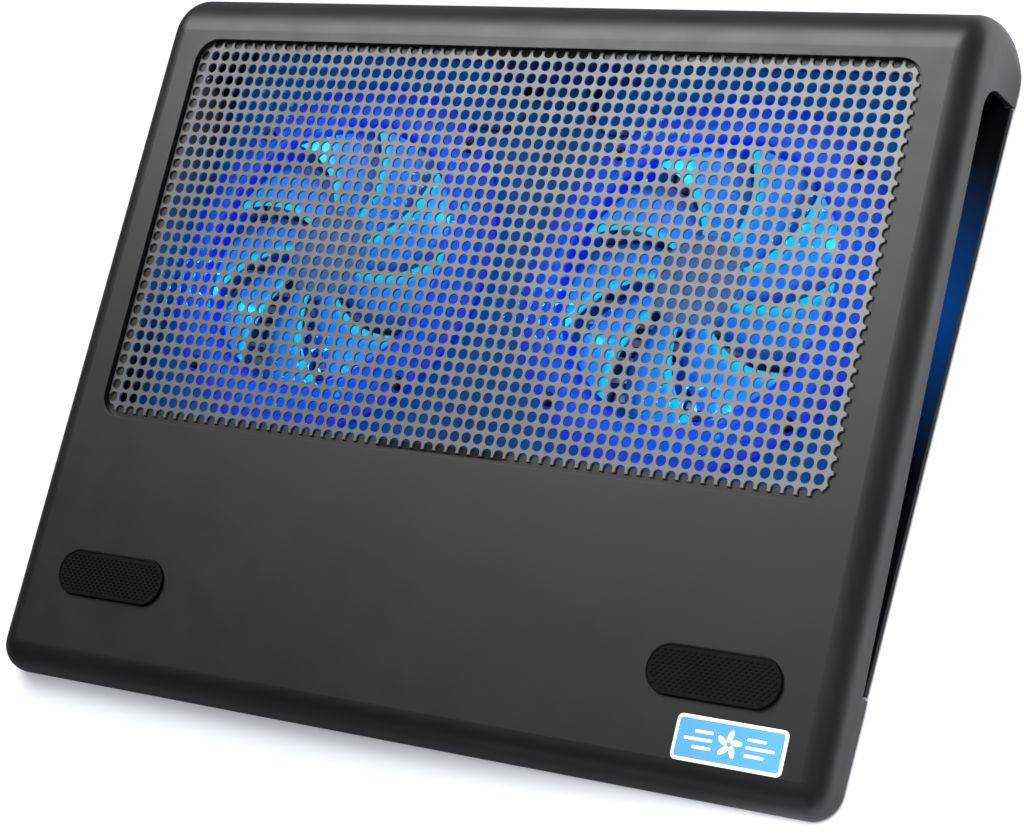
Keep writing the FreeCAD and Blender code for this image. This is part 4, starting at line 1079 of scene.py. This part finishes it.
def make_screw(name, head_radius, head_height, shank_radius, length):
    """A screw with the top of its head at height 0, pointing down."""
    start_fresh()
    bpy.ops.mesh.primitive_cylinder_add(vertices=32, radius=head_radius, depth=head_height,
                                        location=(0, 0, -head_height / 2))
    screw = bpy.context.object
    screw.name = name
    bpy.ops.object.transform_apply(location=True)
    bpy.ops.object.mode_set(mode="EDIT")
    pick(screw, edges=lambda a, b: min(a.z, b.z) > -0.01 * MM)
    bpy.ops.mesh.bevel(offset=head_height * HEAD_ROLL, segments=4, affect="EDGES")
    pick(screw, faces=lambda face: face.normal.z < -0.99)
    bpy.ops.mesh.inset(thickness=head_radius - shank_radius)
    bpy.ops.mesh.extrude_region_move(
        TRANSFORM_OT_translate={"value": (0, 0, head_height - length + TIP_LENGTH)})
    bpy.ops.mesh.extrude_region_move(TRANSFORM_OT_translate={"value": (0, 0, -TIP_LENGTH)})
    bpy.ops.transform.resize(value=(TIP_TAPER, TIP_TAPER, 1))
    bpy.ops.object.mode_set(mode="OBJECT")

    bpy.ops.object.select_all(action="DESELECT")
    bpy.ops.mesh.primitive_cube_add(size=1)
    cross = bpy.context.object
    reach, width = head_radius * CROSS_REACH, head_radius * CROSS_WIDTH
    deep = head_height * CROSS_DEPTH
    cross.scale = (reach, width, deep)
    bpy.ops.object.transform_apply(scale=True)
    bpy.ops.object.mode_set(mode="EDIT")
    bpy.ops.mesh.select_all(action="DESELECT")
    bpy.ops.mesh.primitive_cube_add(size=1, scale=(width, reach, deep))
    bpy.ops.object.mode_set(mode="OBJECT")
    recess = screw.modifiers.new("recess", "BOOLEAN")
    recess.operation = "DIFFERENCE"
    recess.use_self = True
    recess.object = cross
    bpy.ops.object.select_all(action="DESELECT")
    screw.select_set(True)
    bpy.context.view_layer.objects.active = screw
    bpy.ops.object.modifier_apply(modifier=recess.name)
    bpy.data.objects.remove(cross)
    return screw


def place_screws(node, name, head_height, shank_radius, finish, upside_down=False):
    """Copy one screw to each place where the node has a solid."""
    places = islands(node)
    low, high = places[0]
    pattern = make_screw(name, (high.x - low.x) / 2, head_height, shank_radius, high.z - low.z)
    for i, (low, high) in enumerate(places):
        screw = own_copy(pattern, f"{name}_{i}")
        middle = (low + high) / 2
        spin = Matrix.Rotation(math.radians(FIRST_TURN + NEXT_TURN * i), 4, "Z")
        if upside_down:
            stand = Matrix.Translation((middle.x, middle.y, low.z)) @ Matrix.Rotation(
                math.pi, 4, "X")
        else:
            stand = Matrix.Translation((middle.x, middle.y, high.z))
        settle(screw, stand @ spin, angle=40)
        put_on(screw, "case", "screw_steel", finish, *([node] if not i else []))
    bpy.data.objects.remove(pattern)


zinc = finishes["screw_steel"]
place_screws("case_screws", "case_screw", 1.9 * MM, 1.25 * MM, zinc, upside_down=True)
place_screws("board_screws", "board_screw", 1.4 * MM, 1.1 * MM, zinc)
for side in ("left", "right"):
    place_screws(f"fan_screws_{side}", f"fan_screw_{side}", 1.8 * MM, 1.25 * MM, black_zinc)

# %% [markdown]
# ## Lamps
# A lamp is a clear moulded bullet: a cylinder with a domed end, which looks in at the fan, and
# a flat flange at its back. The dome is a wide bevel on the inner end's rim.

# %% Lamps
LAMP_RADIUS = 1.45 * MM
LAMP_LENGTH = 4.2 * MM
FLANGE_LENGTH = 0.6 * MM
FLANGE_RIM = 0.1
for side in ("left", "right"):
    low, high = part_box(f"impeller_{side}")
    fan_at = (low + high) / 2
    for i, (low, high) in enumerate(islands(f"fan_leds_{side}")):
        lamp_at = (low + high) / 2
        start_fresh()
        bpy.ops.mesh.primitive_cylinder_add(vertices=24, radius=LAMP_RADIUS * (1 - FLANGE_RIM),
                                            depth=LAMP_LENGTH, rotation=(0, math.pi / 2, 0))
        lamp = bpy.context.object
        lamp.name = f"fan_lamp_{side}_{i}"
        bpy.ops.object.transform_apply(rotation=True)
        bpy.ops.object.mode_set(mode="EDIT")
        pick(lamp, edges=lambda a, b: min(a.x, b.x) > LAMP_LENGTH / 2 - 0.01 * MM)
        bpy.ops.mesh.bevel(offset=LAMP_RADIUS * 0.8, segments=6, affect="EDGES")
        slice_at = -LAMP_LENGTH / 2 + FLANGE_LENGTH
        bpy.ops.mesh.select_all(action="SELECT")
        bpy.ops.mesh.bisect(plane_co=(slice_at, 0, 0), plane_no=(1, 0, 0))
        pick(lamp, faces=lambda face: face.center.x < slice_at and abs(face.normal.x) < 0.5)
        bpy.ops.mesh.extrude_region_shrink_fatten(
            TRANSFORM_OT_shrink_fatten={"value": LAMP_RADIUS * FLANGE_RIM})
        way = fan_at - lamp_at
        stand = Matrix.Translation(lamp_at) @ Matrix.Rotation(math.atan2(way.y, way.x), 4, "Z")
        settle(lamp, stand)
        put_on(lamp, "case", "led_lens", finishes["led_lens"],
               *([f"fan_leds_{side}"] if not i else []))

# %% [markdown]
# ## Sockets and switch
# Each socket's blue insert carries four gilt contacts on its lower face, which are small eased
# bars. The slide switch's knob has four grooves across it for the fingertip: its outer face is
# cut into strips, and every other strip is pushed in.

# %% The sockets' contacts
gilt, _, _, _ = moulded("gilt_contact", (0.70, 0.45, 0.14), (0.82, 0.56, 0.20), (0.18, 0.3),
                        grain_mm=0.5, depth=0.002, metal=1.0)
BLADE_THICKNESS = 1.7 * MM
BLADE_DROP = 0.4 * MM
CONTACT_HALF = 0.5 * MM
CONTACT_ENDS = (8.5 * MM, 0.6 * MM)
CONTACT_PROUD = 0.12 * MM
CONTACT_ROOT = 0.05 * MM
CONTACT_CORNER = 0.15 * MM
for name in ("inlet", "pass_through"):
    low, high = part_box(f"{name}_tongue")
    blade_low = high.z - BLADE_DROP - BLADE_THICKNESS
    bars = []
    for i, x in enumerate((-3.5, -1.1, 1.1, 3.5)):
        middle = (low.x + high.x) / 2 + x * MM
        bar_low = Vector((middle - CONTACT_HALF, high.y - CONTACT_ENDS[0],
                          blade_low - CONTACT_PROUD))
        bar_high = Vector((middle + CONTACT_HALF, high.y - CONTACT_ENDS[1],
                           blade_low + CONTACT_ROOT))
        bars.append(rounded_slab(f"{name}_contact_{i}", bar_low, bar_high, CONTACT_CORNER, 0))
    start_fresh()
    for bar in bars:
        bar.select_set(True)
    bpy.context.view_layer.objects.active = bars[0]
    bpy.ops.object.join()
    bars[0].name = f"{name}_contacts"
    settle(bars[0])
    put_on(bars[0], "case", "port_metal", gilt)

# %% The switch's knob
STRIPS = 9
GROOVE_IN = 0.5 * MM
KNOB_EASE = 0.08 * MM
low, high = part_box("switch_knob")
start_fresh()
bpy.ops.mesh.primitive_cube_add(size=1, location=(low + high) / 2)
knob = bpy.context.object
knob.name = "switch_knob_grooved"
knob.scale = high - low
bpy.ops.object.transform_apply(location=True, scale=True)
bpy.ops.object.mode_set(mode="EDIT")
for i in range(1, STRIPS):
    bpy.ops.mesh.select_all(action="SELECT")
    cut_x = low.x + (high.x - low.x) * i / STRIPS
    bpy.ops.mesh.bisect(plane_co=(cut_x, 0, 0), plane_no=(1, 0, 0))
strip = (high.x - low.x) / STRIPS
pick(knob, faces=lambda face: face.normal.y > 0.9
     and int((face.center.x - low.x) / strip) % 2 == 1)
bpy.ops.mesh.extrude_region_move(TRANSFORM_OT_translate={"value": (0, -GROOVE_IN, 0)})
pick(knob, edges=lambda a, b: min(a.y, b.y) > high.y - 0.01 * MM)
bpy.ops.mesh.bevel(offset=KNOB_EASE, segments=2, affect="EDGES")
settle(knob)
put_on(knob, "knob", "knob_plastic", finishes["knob_plastic"], "switch_knob")
